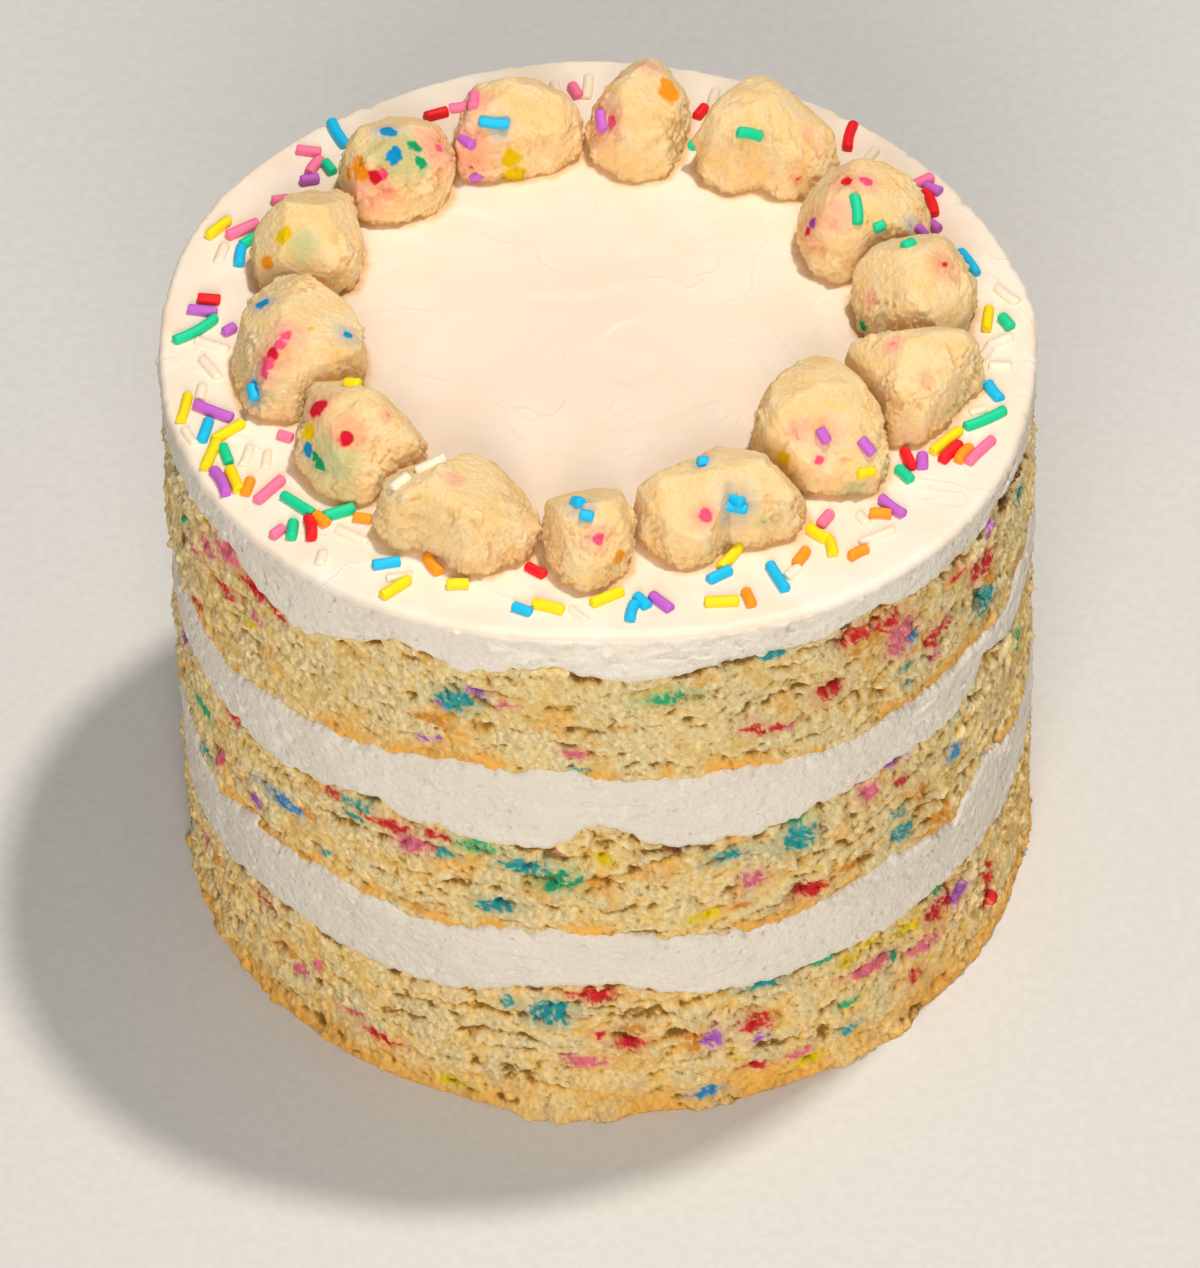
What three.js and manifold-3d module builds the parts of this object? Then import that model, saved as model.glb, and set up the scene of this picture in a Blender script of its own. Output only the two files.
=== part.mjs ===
// A naked three-layer confetti cake: three sponges, three layers of vanilla frosting, a ring of
// crumb clusters on top and rod sprinkles between the ring and the rim. Millimetres, +Z up, the
// origin at the middle of the underside. A clock angle runs in degrees round the cake, seen from
// above: 0 is the front (-Y), 90 the right (+X), 180 the back and 270 the left.
import * as THREE from "three";
import { mergeVertices } from "three/addons/utils/BufferGeometryUtils.js";
import Module from "manifold-3d";

// Driving dimensions
const CAKE_RADIUS = 76.2; // a six-inch cake ring
const TOP_HEIGHT = 113.9; // the top of the frosting at the middle
const TOP_FALL = { right: 0.033, back: 0.021 }; // the top falls to the right and to the back
const SEAM_HEIGHTS = [27.2, 43.2, 65.7, 79.2, 105.7]; // from the lowest sponge's top upwards
const SEAM_RADIUS = 75.2; // where two layers meet at the side
const CORE_RADIUS = 64; // inside it the seams are level
const LAYER_GAP = 0.3; // kept between neighbouring solids
const COLUMNS = 90; // steps round the cake

// Each swell of a seam is [clock angle, rise, spread in degrees].
const SEAM_SWELLS = [
  [[-70, -2.4, 12], [-25, -1.2, 4], [-4, 4.6, 13]],
  [[-66, -2.4, 8], [-38, 1.6, 4], [-7, 3, 10], [18, -1.6, 4], [31, -1.4, 3], [41, 1.4, 5],
    [50, -2.4, 4], [61, 5.4, 4.8]],
  [[-62, -1.6, 10], [-46, -1.5, 5], [-33, 2.8, 3.4], [-24, 2, 2.6], [-1, 7.4, 4.4], [12, -1, 8],
    [42, 1.9, 9], [61, 6.4, 4], [76, 3.4, 16]],
  [[-80, -3, 6], [-62, -3.4, 6.5], [-19, 1.4, 3], [-12, 5.2, 24], [-6, 2.6, 3], [18, 2.2, 10],
    [35, -1.2, 3], [65, -1.8, 4]],
  [[-72, 0.8, 6], [-59, 2.4, 6], [-45, -4.2, 7.5], [-27, 4.2, 4], [-8, 3.6, 8], [17, 2.2, 7],
    [33, 1.4, 4], [50, -1.4, 9], [78, -2.8, 8]],
];
const BACK_SWELLS = 5; // seeded swells of each seam, across the back
const RIM_SWELLS = [[78, -0.7, 8], [100, 0.9, 6], [180, 1.1, 12], [210, -0.9, 8], [240, 0.8, 10],
  [270, -0.9, 12]];

// Rows of a side wall from the seam below to the seam above, as a share of the layer's height.
const SPONGE_ROWS = [0.2, 0.5, 0.8];
const SPONGE_RADIUS = 75.5;
const CRAG = 0.75; // how far the torn sponge stands out or in
const FOOT_ROWS = [0.08, 0.24, 0.55]; // of the lowest sponge
const FOOT_RADIUS = 76.4;
const FROSTING_EDGE = 1.2; // height of the rounded edge of a band of frosting
const RIM_RADIUS = 1.6; // the rounded rim of the top

// Rod sprinkles
const SPRINKLE_RADIUS = 0.85;
const SPRINKLE_SIDES = 5;
const SPRINKLE_SINK = 0.35; // height of a sprinkle's axis above the frosting

// Each sprinkle: the place of its middle on the top, its lean in degrees from +X towards +Y, and
// its length.
const SPRINKLES = [
  [-67.2, 11.6, -6, 4], [-68.3, 8.6, -10, 5.2], [-69.3, 3.6, 40, 9.4], [-63.6, 3.6, 40, 2.6],
  [-71.1, -16.6, 80, 6.8], [-66.2, -17.4, -30, 7.6], [-67.5, -22.4, 77, 5.4],
  [-63.6, -22.6, 42, 6.8], [-66.5, -28.4, 74, 7.4], [-63.9, -28.4, -75, 4.6],
  [-53.8, -23.9, -25, 2.8], [-64.7, -35.3, -70, 6.8], [-62.4, -34.8, -73, 6],
  [-60.1, -36.6, 75, 3.8], [-56.4, -37.4, 52, 7.2], [-51.6, -41, -42, 7.2], [-44.6, -43, 22, 5.6],
  [-47.6, -44.8, -50, 3.4], [-49.4, -47, -84, 5.4], [-52.5, -47.4, 85, 4.2], [-55, -47.9, 48, 3],
  [-40.6, -44.5, -12, 3.2], [-42.4, -48.6, -33, 6.4], [-47.6, -54.2, 80, 3.2],
  [-36.6, -55.8, 12, 4.8], [-35.1, -61.8, 42, 6.2], [-34.4, -58.8, 10, 4.6],
  [-28.8, -56.2, -62, 4.8], [-24.6, -60.9, 2, 3.8], [-11.4, -57.7, -38, 4],
  [-13.8, -67.2, -28, 3.6], [-9.4, -66.6, -20, 5.6], [-4.4, -68.2, -50, 4.2],
  [0.5, -64.3, 30, 6.2], [6.4, -65.4, -55, 3.6], [4.6, -67.8, 78, 4.4], [9.6, -65.6, -48, 5],
  [19.6, -58.9, 35, 4.8], [21.6, -54.4, 57, 6.4], [19.8, -65.4, 3, 5.8], [24.4, -64.6, -74, 4],
  [29.4, -59.4, -68, 7], [33.6, -54.4, 60, 4], [43.2, -53.4, 35, 3.8], [36.6, -48.7, -42, 4.6],
  [38.8, -51.9, -82, 4], [38, -45, 58, 3.6], [44.4, -44.6, -60, 3], [47.4, -43.6, -4, 3.8],
  [49.4, -41.9, -48, 5.8], [46.6, -49, 30, 7], [32, -57.8, 48, 3.6], [52.7, -30, -74, 4.8],
  [55.1, -30.5, 88, 3.4], [51.9, -33.8, -55, 4], [59.4, -25.4, 48, 7.6], [60, -28.3, 53, 5.6],
  [62.2, -28.7, 57, 4.4], [65.1, -27.9, 53, 7.6], [66.4, -19.9, 32, 8.4], [65.2, -17.6, 20, 3.2],
  [68.1, -12.9, -65, 4.8], [68, 6, 82, 5.8], [71.2, 5.2, -62, 3.4], [65.4, 20.8, -66, 6.8],
  [71.6, 12.6, -50, 5.6], [69.8, 0.6, 32, 5], [67.2, -2.4, 62, 4], [69.6, -5.8, -6, 4],
  [45.8, 54.8, 79, 7], [59.4, 36.6, -77, 6.6], [58, 42.3, 34, 4.8], [59.9, 40.4, -35, 3.4],
  [59.8, 30.4, -50, 2.6], [35.2, 64.4, 84, 3.4], [19.6, 61.4, 60, 3.4], [-2.6, 67.2, -68, 3.6],
  [-0.4, 68.6, 84, 6.2], [-6, 68, -80, 4.6], [21.8, 64.8, 80, 6.6], [49.4, 50, 60, 4],
  [-27.4, 60.9, 22, 4.4], [-44.8, 55.6, -68, 7.4], [-50, 51, -10, 4.4], [-49, 46.9, 62, 4.6],
  [-46.4, 46.6, -62, 3.4], [-49.8, 43.3, 14, 3.4], [-54.9, 37.9, 10, 3.2], [-65.8, 30.4, 50, 5.8],
  [-61.5, 30, 33, 6.4], [-59.7, 27.7, 44, 5.6], [-61.9, 23.1, 85, 5], [-65.2, 23.8, 76, 5],
  [-66.6, 0, -25, 6.4], [-66.8, -6, -60, 6.2], [-68.4, -12.4, 82, 3.8], [-70.2, -23.4, -65, 4.6],
  [-60.4, -28.6, 76, 5.2], [-57, -29.6, 84, 4.6],
];

// Crumb clusters: the place of the middle on the top, the height, and the outline seen from above,
// round from the left and measured from the middle.
const CLUSTERS = [
  {
    middle: [-2.6, -52.7],
    height: 13,
    outline: [
      [-7.4, 3], [-6.5, -3.5], [-3.6, -8], [-1, -10.5], [3, -9.2], [6.6, -4.5], [7.4, 1], [6, 6],
      [1, 8.4], [-4, 7.2],
    ],
  },
  {
    middle: [20.5, -46.4],
    height: 13,
    outline: [
      [-15.6, 0.6], [-13.4, -5], [-8, -11.6], [-3, -9.6], [0.8, -4], [6, -5], [12, -2.8],
      [14.6, 1.6], [12.4, 6], [5, 9.6], [-1, 10.4], [-5, 7.4], [-10, 3.2],
    ],
  },
  {
    middle: [37.2, -27.7],
    height: 15,
    outline: [
      [-11, -1.5], [-9.4, -6.5], [-3.5, -10.6], [4, -11.4], [10, -10.6], [11.8, -5], [10.8, 1.5],
      [8, 7], [4.6, 12.4], [-0.5, 13.6], [-5.8, 9.6], [-10, 4.6],
    ],
  },
  {
    middle: [54.2, -15.7],
    height: 14,
    outline: [
      [-8.8, -1], [-5.4, -4], [-4.6, -10.6], [1, -10.5], [5, -6], [8.2, -0.5], [12, 4.6],
      [11, 7.6], [6.4, 8], [1, 9.6], [-5, 9.8], [-10.6, 8.6], [-11.6, 5],
    ],
  },
  {
    middle: [55.1, 7.3],
    height: 14,
    outline: [
      [-10.6, 3], [-9.8, -3.5], [-5.4, -9.6], [1, -11.6], [5.4, -11.6], [9.2, -5], [10.4, 1],
      [9.4, 7], [6, 10], [1.5, 10.5], [-4, 9.4], [-8.4, 7.2],
    ],
  },
  {
    middle: [46.9, 27.6],
    height: 14,
    outline: [
      [-11.2, -3.5], [-9, -9.6], [-4.6, -11.8], [-1.6, -10.8], [0.8, -8.8], [6, -7.6], [11, -6],
      [12, 0], [9.4, 5.4], [4.6, 9], [-1, 9.2], [-6.8, 7], [-10.8, 2.4],
    ],
  },
  {
    middle: [30.5, 47.3],
    height: 15,
    outline: [
      [-12.2, 0], [-11, -4.4], [-6.5, -7.6], [-1, -5.8], [3, -9], [6.6, -8.4], [11, -10.4],
      [12.8, -5], [12, 0], [9.4, 4.4], [4, 6.6], [1.6, 12.2], [-2, 12.6], [-6, 8.6], [-10, 5.2],
    ],
  },
  {
    middle: [8.3, 53.4],
    height: 14.5,
    outline: [
      [-9.2, 0.5], [-8, -5], [-3.5, -9.4], [0, -10.5], [4.4, -9], [6.8, -4], [8.8, 1], [8.4, 6],
      [5, 11], [0, 12.4], [-4.4, 9], [-6, 4.5],
    ],
  },
  {
    middle: [-12.9, 51.4],
    height: 14,
    outline: [
      [-10.8, -1.5], [-11, -7.6], [-6, -8.6], [1, -7], [7, -5], [11, -1], [11.4, 3], [6, 6.5],
      [3, 9.4], [-1, 10], [-5, 7.6], [-9.4, 6.4],
    ],
  },
  {
    middle: [-34, 40],
    height: 14,
    outline: [
      [-10.6, 0], [-9, -5], [-6.4, -8.4], [0, -8.5], [5, -5.6], [9, -1.4], [9.6, 4], [7, 8.6],
      [3, 11], [-1, 10.4], [-5, 8], [-9, 5],
    ],
  },
  {
    middle: [-49.8, 23],
    height: 13.5,
    outline: [
      [-9.8, -1], [-8.8, -8], [-4, -11.6], [3, -11.8], [8, -8.4], [9.2, -2], [8.2, 4], [6, 9.6],
      [0, 10.4], [-3.5, 7], [-5.6, 2.4],
    ],
  },
  {
    middle: [-52.6, -6.5],
    height: 14,
    outline: [
      [-10.4, -3], [-9, -8.6], [-5, -12.6], [0.4, -13.6], [3.6, -9], [8.6, -8.4], [12.2, -5],
      [12.4, 1], [11, 6], [8, 12], [3, 15.4], [-3, 14.6], [-7, 9.6], [-9, 4],
    ],
  },
  {
    middle: [-40.8, -28.6],
    height: 14,
    outline: [
      [-11.2, -3.6], [-8, -8.5], [-3, -11.5], [1, -12], [6, -8.4], [10, -6], [11, -2.4], [8.4, 0],
      [4, 2.8], [-0.4, 6.2], [-4, 11.4], [-7, 12.4], [-9, 8], [-10.4, 1],
    ],
  },
  {
    middle: [-24.2, -48.9],
    height: 13.5,
    outline: [
      [-14.4, 1.6], [-12, -2.6], [-7, -2.8], [-3, -6], [1, -9], [4, -9.5], [10.4, -6.4],
      [13.4, -3.6], [13.2, 1], [11.6, 4.8], [9, 7], [6, 11], [1, 11.5], [-1.4, 8.8], [-9, 8],
      [-13.2, 6],
    ],
  },
];
// The rings of a cluster from its flat underside up: share of the outline, share of the height.
const CLUSTER_RINGS = [[0.95, 0], [1, 0.16], [0.99, 0.4], [0.93, 0.66], [0.75, 0.88], [0.4, 0.98]];
const CLUSTER_ROUGHNESS = 0.07; // share by which a ring's corner may fall short
const CLUSTER_SEED = 101;
const CLUSTER_SEAT = 0.3; // height of a cluster's flat underside above the frosting

const RADIANS = Math.PI / 180;
const PROUD = SEAM_RADIUS - CORE_RADIUS;

// The same draws every time, from 0 to 1.
function seeded(seed) {
  let state = seed * 7919 + 17;
  const draw = () => {
    state = (state * 1664525 + 1013904223) % 4294967296;
    return state / 4294967296;
  };
  draw();
  return draw;
}

const between = (draw, low, high) => low + (high - low) * draw();

// The sum of the swells at a clock angle.
function swellAt(swells, clock) {
  return swells.reduce((sum, [at, rise, spread]) => {
    const away = THREE.MathUtils.euclideanModulo(clock - at + 180, 360) - 180;
    return sum + rise * Math.exp(-((away / spread) ** 2));
  }, 0);
}

// A surface of gentle seeded waves over the wall, within about -1 to 1.
function waves(seed, count, coarsest, finest, steepness) {
  const draw = seeded(seed);
  const parts = Array.from({ length: count }, () => ({
    turns: Math.round(between(draw, coarsest, finest)),
    climb: between(draw, -steepness, steepness),
    start: between(draw, 0, 2 * Math.PI),
  }));
  return (clock, z) =>
    parts.reduce(
      (sum, p) => sum + Math.sin(p.turns * clock * RADIANS + p.climb * z + p.start),
      0,
    ) / Math.sqrt(count * 1.5);
}

// The wavy height at which two layers meet, by clock angle and radius.
const seams = SEAM_HEIGHTS.map((height, i) => {
  const draw = seeded(31 + i);
  const behind = Array.from({ length: BACK_SWELLS }, (_, k) => [
    between(draw, 98, 118) + 36 * k,
    between(draw, -2.4, 3.2),
    between(draw, 4, 11),
  ]);
  const ripple = waves(51 + i, 5, 9, 30, 0);
  return (clock, radius) => {
    const wave = swellAt([...SEAM_SWELLS[i], ...behind], clock) + 0.35 * ripple(clock, 0);
    return height + wave * Math.max(0, (radius - CORE_RADIUS) / PROUD);
  };
});

const topHeight = (x, y) => TOP_HEIGHT - TOP_FALL.right * x - TOP_FALL.back * y;

function topAt(clock, radius) {
  return topHeight(radius * Math.sin(clock * RADIANS), -radius * Math.cos(clock * RADIANS));
}

// The radius of the frosted side: nearly round, with a few flats and swells.
const outOfRound = waves(7, 3, 4, 11, 0);
const sideRadius = (clock) =>
  CAKE_RADIUS + 0.6 * swellAt(RIM_SWELLS, clock) + 0.15 * outOfRound(clock, 0);

// Splits the four-sided faces of one row of a turned body along their other diagonal.
function splitOtherWay(body, points, row) {
  const index = body.getIndex();
  for (let column = 0; column < COLUMNS; column += 1) {
    const at = 6 * (column * (points - 1) + row);
    const [a, b, d, c] = [0, 1, 2, 3].map((k) => index.getX(at + k));
    [a, b, c, c, d, a].forEach((corner, k) => index.setX(at + k, corner));
  }
}

// A body turned about the vertical axis, whose outline from the underside's middle to the top's
// middle changes with the clock angle.
function turnedBody(outlineAt) {
  const first = outlineAt(0);
  const body = new THREE.LatheGeometry(
    first.map(([radius, z]) => new THREE.Vector2(radius, z)),
    COLUMNS,
  );
  const place = body.getAttribute("position");
  for (let column = 0; column <= COLUMNS; column += 1) {
    const clock = (column % COLUMNS) * (360 / COLUMNS);
    outlineAt(clock).forEach(([radius, z], row) => {
      const at = column * first.length + row;
      place.setXYZ(
        at,
        radius * Math.sin(clock * RADIANS),
        -radius * Math.cos(clock * RADIANS),
        z,
      );
    });
  }
  return body;
}

// The outline's points along the upper or lower face of a seam.
function seamPoints(seam, clock, shift) {
  return [
    [0, seam(clock, 0) + shift],
    [CORE_RADIUS, seam(clock, CORE_RADIUS) + shift],
    [SEAM_RADIUS, seam(clock, SEAM_RADIUS) + shift],
  ];
}

const faceAbove = (seam, clock) => seamPoints(seam, clock, LAYER_GAP / 2);
const faceBelow = (seam, clock) => seamPoints(seam, clock, -LAYER_GAP / 2).reverse();

// A turned body that lies under a seam: its upper face is split as the layer above is.
function layerBody(outlineAt) {
  const body = turnedBody(outlineAt);
  const points = outlineAt(0).length;
  splitOtherWay(body, points, points - 3);
  return body;
}

// A sponge between two seams, its torn wall standing out and in.
function spongeBody(lower, upper, seed) {
  const crag = waves(seed, 9, 6, 34, 0.5);
  return layerBody((clock) => {
    const under = faceAbove(lower, clock);
    const over = faceBelow(upper, clock);
    const [bottom, top] = [under.at(-1)[1], over[0][1]];
    const wall = SPONGE_ROWS.map((share) => {
      const z = THREE.MathUtils.lerp(bottom, top, share);
      return [SPONGE_RADIUS + CRAG * crag(clock, z), z];
    });
    return [...under, ...wall, ...over];
  });
}

// The lowest sponge, which stands flat and flares a little at its browned foot.
function footSpongeBody(upper, seed) {
  const crag = waves(seed, 9, 6, 34, 0.5);
  return layerBody((clock) => {
    const over = faceBelow(upper, clock);
    const wall = FOOT_ROWS.map((share, row) => {
      const z = over[0][1] * share;
      const flare = THREE.MathUtils.lerp(0.9, 0, row / (FOOT_ROWS.length - 1));
      return [SPONGE_RADIUS + flare + CRAG * crag(clock, z), z];
    });
    return [[0, 0], [FOOT_RADIUS, 0], ...wall, ...over];
  });
}

// A band of frosting between two seams, scraped smooth and a little proud of the sponge.
function frostingBody(lower, upper) {
  return layerBody((clock) => {
    const under = faceAbove(lower, clock);
    const over = faceBelow(upper, clock);
    const radius = sideRadius(clock);
    const wall = [
      [radius, under.at(-1)[1] + FROSTING_EDGE],
      [radius, over[0][1] - FROSTING_EDGE],
    ];
    return [...under, ...wall, ...over];
  });
}

// The top layer of frosting, with its rounded rim and level spread.
function toppingBody(lower) {
  return turnedBody((clock) => {
    const under = faceAbove(lower, clock);
    const radius = sideRadius(clock);
    const rim = [0, 45, 90].map((turn) => {
      const inset = RIM_RADIUS * (1 - Math.cos(turn * RADIANS));
      const drop = RIM_RADIUS * (1 - Math.sin(turn * RADIANS));
      return [radius - inset, topAt(clock, radius - RIM_RADIUS) - drop];
    });
    return [...under, [radius, under.at(-1)[1] + FROSTING_EDGE], ...rim, [0, TOP_HEIGHT]];
  });
}

// A frame whose floor is the sloping top, its origin at the top's middle.
function topFrame() {
  const frame = new THREE.Group();
  const upwards = new THREE.Vector3(TOP_FALL.right, TOP_FALL.back, 1).normalize();
  frame.quaternion.setFromUnitVectors(new THREE.Vector3(0, 0, 1), upwards);
  frame.position.z = TOP_HEIGHT;
  return frame;
}

// A broken lump of crumble: rings of its outline, narrowing to a blunt crown, each corner a
// little short of its place, on a flat underside.
function clusterBody({ height, outline }, seed) {
  const draw = seeded(seed);
  const short = () => 1 - CLUSTER_ROUGHNESS * draw();
  const points = CLUSTER_RINGS.flatMap(([share, rise]) =>
    outline.map(([x, y]) => {
      const reach = share * short();
      return [x * reach, y * reach, height * rise * short()];
    }),
  );
  const corners = outline.length;
  const [underside, crown] = [points.length, points.length + 1];
  points.push([0, 0, 0], [0, 0, height]);
  const faces = outline.flatMap((_, i) => {
    const next = (i + 1) % corners;
    const lastRing = (CLUSTER_RINGS.length - 1) * corners;
    const bands = CLUSTER_RINGS.slice(1).flatMap((_ring, k) => {
      const [low, high] = [k * corners, (k + 1) * corners];
      return [low + i, low + next, high + next, low + i, high + next, high + i];
    });
    return [underside, next, i, ...bands, lastRing + i, lastRing + next, crown];
  });
  const body = new THREE.BufferGeometry();
  body.setAttribute("position", new THREE.Float32BufferAttribute(points.flat(), 3));
  body.setIndex(faces);
  body.computeVertexNormals();
  return body;
}

function sprinkleBody([x, y, lean, length]) {
  const rod = new THREE.CapsuleGeometry(
    SPRINKLE_RADIUS,
    length - 2 * SPRINKLE_RADIUS,
    1,
    SPRINKLE_SIDES,
  );
  rod.rotateZ((lean - 90) * RADIANS);
  return rod.translate(x, y, SPRINKLE_SINK);
}

const wasm = await Module();
wasm.setup();

// A closed geometry as a solid that can be joined.
function solid(geometry) {
  const bare = geometry.clone().deleteAttribute("normal").deleteAttribute("uv");
  const merged = mergeVertices(bare, 1e-4);
  return new wasm.Manifold(
    new wasm.Mesh({
      numProp: 3,
      vertProperties: merged.getAttribute("position").array,
      triVerts: new Uint32Array(merged.getIndex().array),
    }),
  );
}

function geometryOf(made) {
  const mesh = made.getMesh();
  const geometry = new THREE.BufferGeometry();
  geometry.setAttribute("position", new THREE.BufferAttribute(mesh.vertProperties, 3));
  geometry.setIndex(new THREE.BufferAttribute(mesh.triVerts, 1));
  geometry.computeVertexNormals();
  return geometry;
}

// The top layer with its sprinkles half sunk in it.
function sprinkledTopping(lower) {
  const frame = topFrame();
  frame.updateMatrix();
  return geometryOf(
    SPRINKLES.reduce(
      (made, rod) => made.add(solid(sprinkleBody(rod).applyMatrix4(frame.matrix))),
      solid(toppingBody(lower)),
    ),
  );
}

const finish = (color, roughness) =>
  new THREE.MeshStandardMaterial({ color, roughness, metalness: 0 });
const SPONGE = finish(0xdfbf84, 0.95);
const FROSTING = finish(0xe6dac4, 0.6);
const TOPPING = finish(0xfaeacf, 0.6);
const CRUMB = finish(0xf2cf97, 0.95);

function named(name, geometry, material) {
  const mesh = new THREE.Mesh(geometry, material);
  mesh.name = name;
  return mesh;
}

const cake = new THREE.Group();
cake.add(
  named("sponge_bottom", footSpongeBody(seams[0], 11), SPONGE),
  named("frosting_lower", frostingBody(seams[0], seams[1]), FROSTING),
  named("sponge_middle", spongeBody(seams[1], seams[2], 12), SPONGE),
  named("frosting_middle", frostingBody(seams[2], seams[3]), FROSTING),
  named("sponge_top", spongeBody(seams[3], seams[4], 13), SPONGE),
  named("frosting_top", sprinkledTopping(seams[4]), TOPPING),
);

const crumble = topFrame();
CLUSTERS.forEach((cluster, i) => {
  const number = String(i + 1).padStart(2, "0");
  const lump = named(`crumb_${number}`, clusterBody(cluster, CLUSTER_SEED + i), CRUMB);
  lump.position.set(...cluster.middle, CLUSTER_SEAT);
  crumble.add(lump);
});
cake.add(crumble);

export default cake;
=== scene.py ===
"""A naked confetti layer cake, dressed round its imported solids.

Metres, +Z up, the origin at the middle of the underside. A clock angle runs in degrees round the
cake, seen from above: 0 is the front (-Y), 90 the right (+X), 180 the back and 270 the left.
Tables and shaping sums are in millimetres.
"""

import math

import bmesh
import bpy
import numpy as np
from mathutils import Matrix, Vector, noise
from mathutils.kdtree import KDTree


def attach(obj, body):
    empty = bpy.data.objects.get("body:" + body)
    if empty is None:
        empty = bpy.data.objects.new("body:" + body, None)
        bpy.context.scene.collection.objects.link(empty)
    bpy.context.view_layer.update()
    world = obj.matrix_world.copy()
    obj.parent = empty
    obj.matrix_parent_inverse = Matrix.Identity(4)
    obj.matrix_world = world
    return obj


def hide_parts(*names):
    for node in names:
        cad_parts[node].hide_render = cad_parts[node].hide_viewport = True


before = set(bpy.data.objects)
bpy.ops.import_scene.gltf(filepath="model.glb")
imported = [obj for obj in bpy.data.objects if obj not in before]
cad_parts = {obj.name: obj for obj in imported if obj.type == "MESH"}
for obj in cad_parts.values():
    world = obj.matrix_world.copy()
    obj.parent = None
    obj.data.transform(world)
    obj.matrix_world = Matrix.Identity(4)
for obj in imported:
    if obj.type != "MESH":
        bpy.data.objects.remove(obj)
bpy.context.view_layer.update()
scene = bpy.context.scene

MM = 0.001
CAKE_RADIUS = 76.2
SEAM_RADIUS = 75.2  # where two layers meet at the side
DEGREE = math.radians(SEAM_RADIUS)  # how far round the side a degree is
CORE_RADIUS = 64  # inside it the seams are level
TOP_HEIGHT = 113.9
TOP_FALL = (0.033, 0.021)  # the top falls to the right and to the back
RIM_RADIUS = 1.3
SOLID_COLUMNS = 90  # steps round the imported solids
LAYER_GAP = 0.3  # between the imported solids

# The swells of the frosted side: clock angle, rise, spread in degrees.
RIM_SWELLS = [
    (78, -0.7, 8), (100, 0.9, 6), (180, 1.1, 12), (210, -0.9, 8), (240, 0.8, 10), (270, -0.9, 12),
]

# Icing and food colours, as they look under white light.
DYES = {
    "t": "#0AA0A2",
    "g": "#1DB47A",
    "b": "#1596D4",
    "r": "#DC1F2E",
    "p": "#F0718B",
    "v": "#B85CCB",
    "y": "#F2D010",
    "o": "#E89A38",
    "n": "#7A4A22",
}


# --- Small tools ---


def seeded(seed):
    """The same draws every time, from 0 to 1."""
    state = seed * 7919 + 17

    def draw(low=0.0, high=1.0):
        nonlocal state
        state = (state * 1664525 + 1013904223) % 4294967296
        return low + (high - low) * state / 4294967296

    draw()
    return draw


def linear(code):
    """An sRGB hex colour as linear red, green, blue and alpha."""
    parts = [int(code[i : i + 2], 16) / 255 for i in (1, 3, 5)]
    return [c / 12.92 if c <= 0.04045 else ((c + 0.055) / 1.055) ** 2.4 for c in parts] + [1]


def pick(*pieces):
    """Selects these pieces alone, the last one active."""
    bpy.ops.object.select_all(action="DESELECT")
    for piece in pieces:
        piece.select_set(True)
    bpy.context.view_layer.objects.active = pieces[-1]


def numbers_of(parts, field):
    """Three numbers for each of a mesh's parts."""
    flat = np.empty(len(parts) * 3, np.float32)
    parts.foreach_get(field, flat)
    return flat.reshape(-1, 3).astype(float)


def points_of(piece):
    """A piece's vertices, in mm."""
    return numbers_of(piece.data.vertices, "co") / MM


def move_points(piece, points):
    piece.data.vertices.foreach_set("co", (points * MM).astype(np.float32).ravel())
    piece.data.update()


def fade(values, low, high):
    """0 below low, 1 above high, and smooth between."""
    t = np.clip((values - low) / (high - low), 0, 1)
    return t * t * (3 - 2 * t)


def noise_at(points, size, shift, value):
    """The values of a noise at some points, with lumps of that size."""
    places = (points / size).reshape(-1, 3)
    return np.array([value(Vector(place) + shift) for place in places]).reshape(points.shape[:-1])


def soft_noise(points, size, seed, octaves=3):
    """Smooth noise, about -1 to 1."""
    shift = Vector((17.3 * seed, 5.1 * seed, 9.7 * seed))
    return noise_at(points, size, shift, lambda place: noise.fractal(place, 1.0, 2.0, octaves))


def crumbly(points, size, seed, octaves=4):
    """Rounded lumps of uneven size with sharp creases between them, about 0 to 1."""
    shift = Vector((3.7 * seed, 11.9 * seed, 7.3 * seed))

    def lumps(place):
        return noise.turbulence(place, octaves, True, amplitude_scale=0.6)

    return noise_at(points, size, shift, lumps)


def new_cylinder(**settings):
    """A cylinder, ready to be edited."""
    bpy.ops.object.select_all(action="DESELECT")
    bpy.ops.mesh.primitive_cylinder_add(**settings)
    bpy.ops.object.transform_apply(location=True, rotation=True, scale=True)
    bpy.ops.object.mode_set(mode="EDIT")
    return bpy.context.object


def apply_modifier(piece, kind, **settings):
    pick(piece)
    modifier = piece.modifiers.new(kind.title(), kind)
    for name, value in settings.items():
        setattr(modifier, name, value)
    bpy.ops.object.modifier_apply(modifier=modifier.name)


def select_parts(piece, parts, chosen):
    """In edit mode, selects the edges or faces for which chosen is true."""
    mesh = bmesh.from_edit_mesh(piece.data)
    for part in (*mesh.verts, *mesh.edges, *mesh.faces):
        part.select = False
    for part in getattr(mesh, parts):
        if chosen(part):
            part.select_set(True)
    bmesh.update_edit_mesh(piece.data)


# --- Materials ---


def plug(node, inputs):
    """Sets or links a node's inputs. A node as a value is linked by its first output in use."""
    for socket, value in inputs.items():
        if isinstance(value, bpy.types.Node):
            value = next(output for output in value.outputs if output.enabled)
        if isinstance(value, bpy.types.NodeSocket):
            node.id_data.links.new(value, node.inputs[socket])
        else:
            node.inputs[socket].default_value = value


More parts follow.
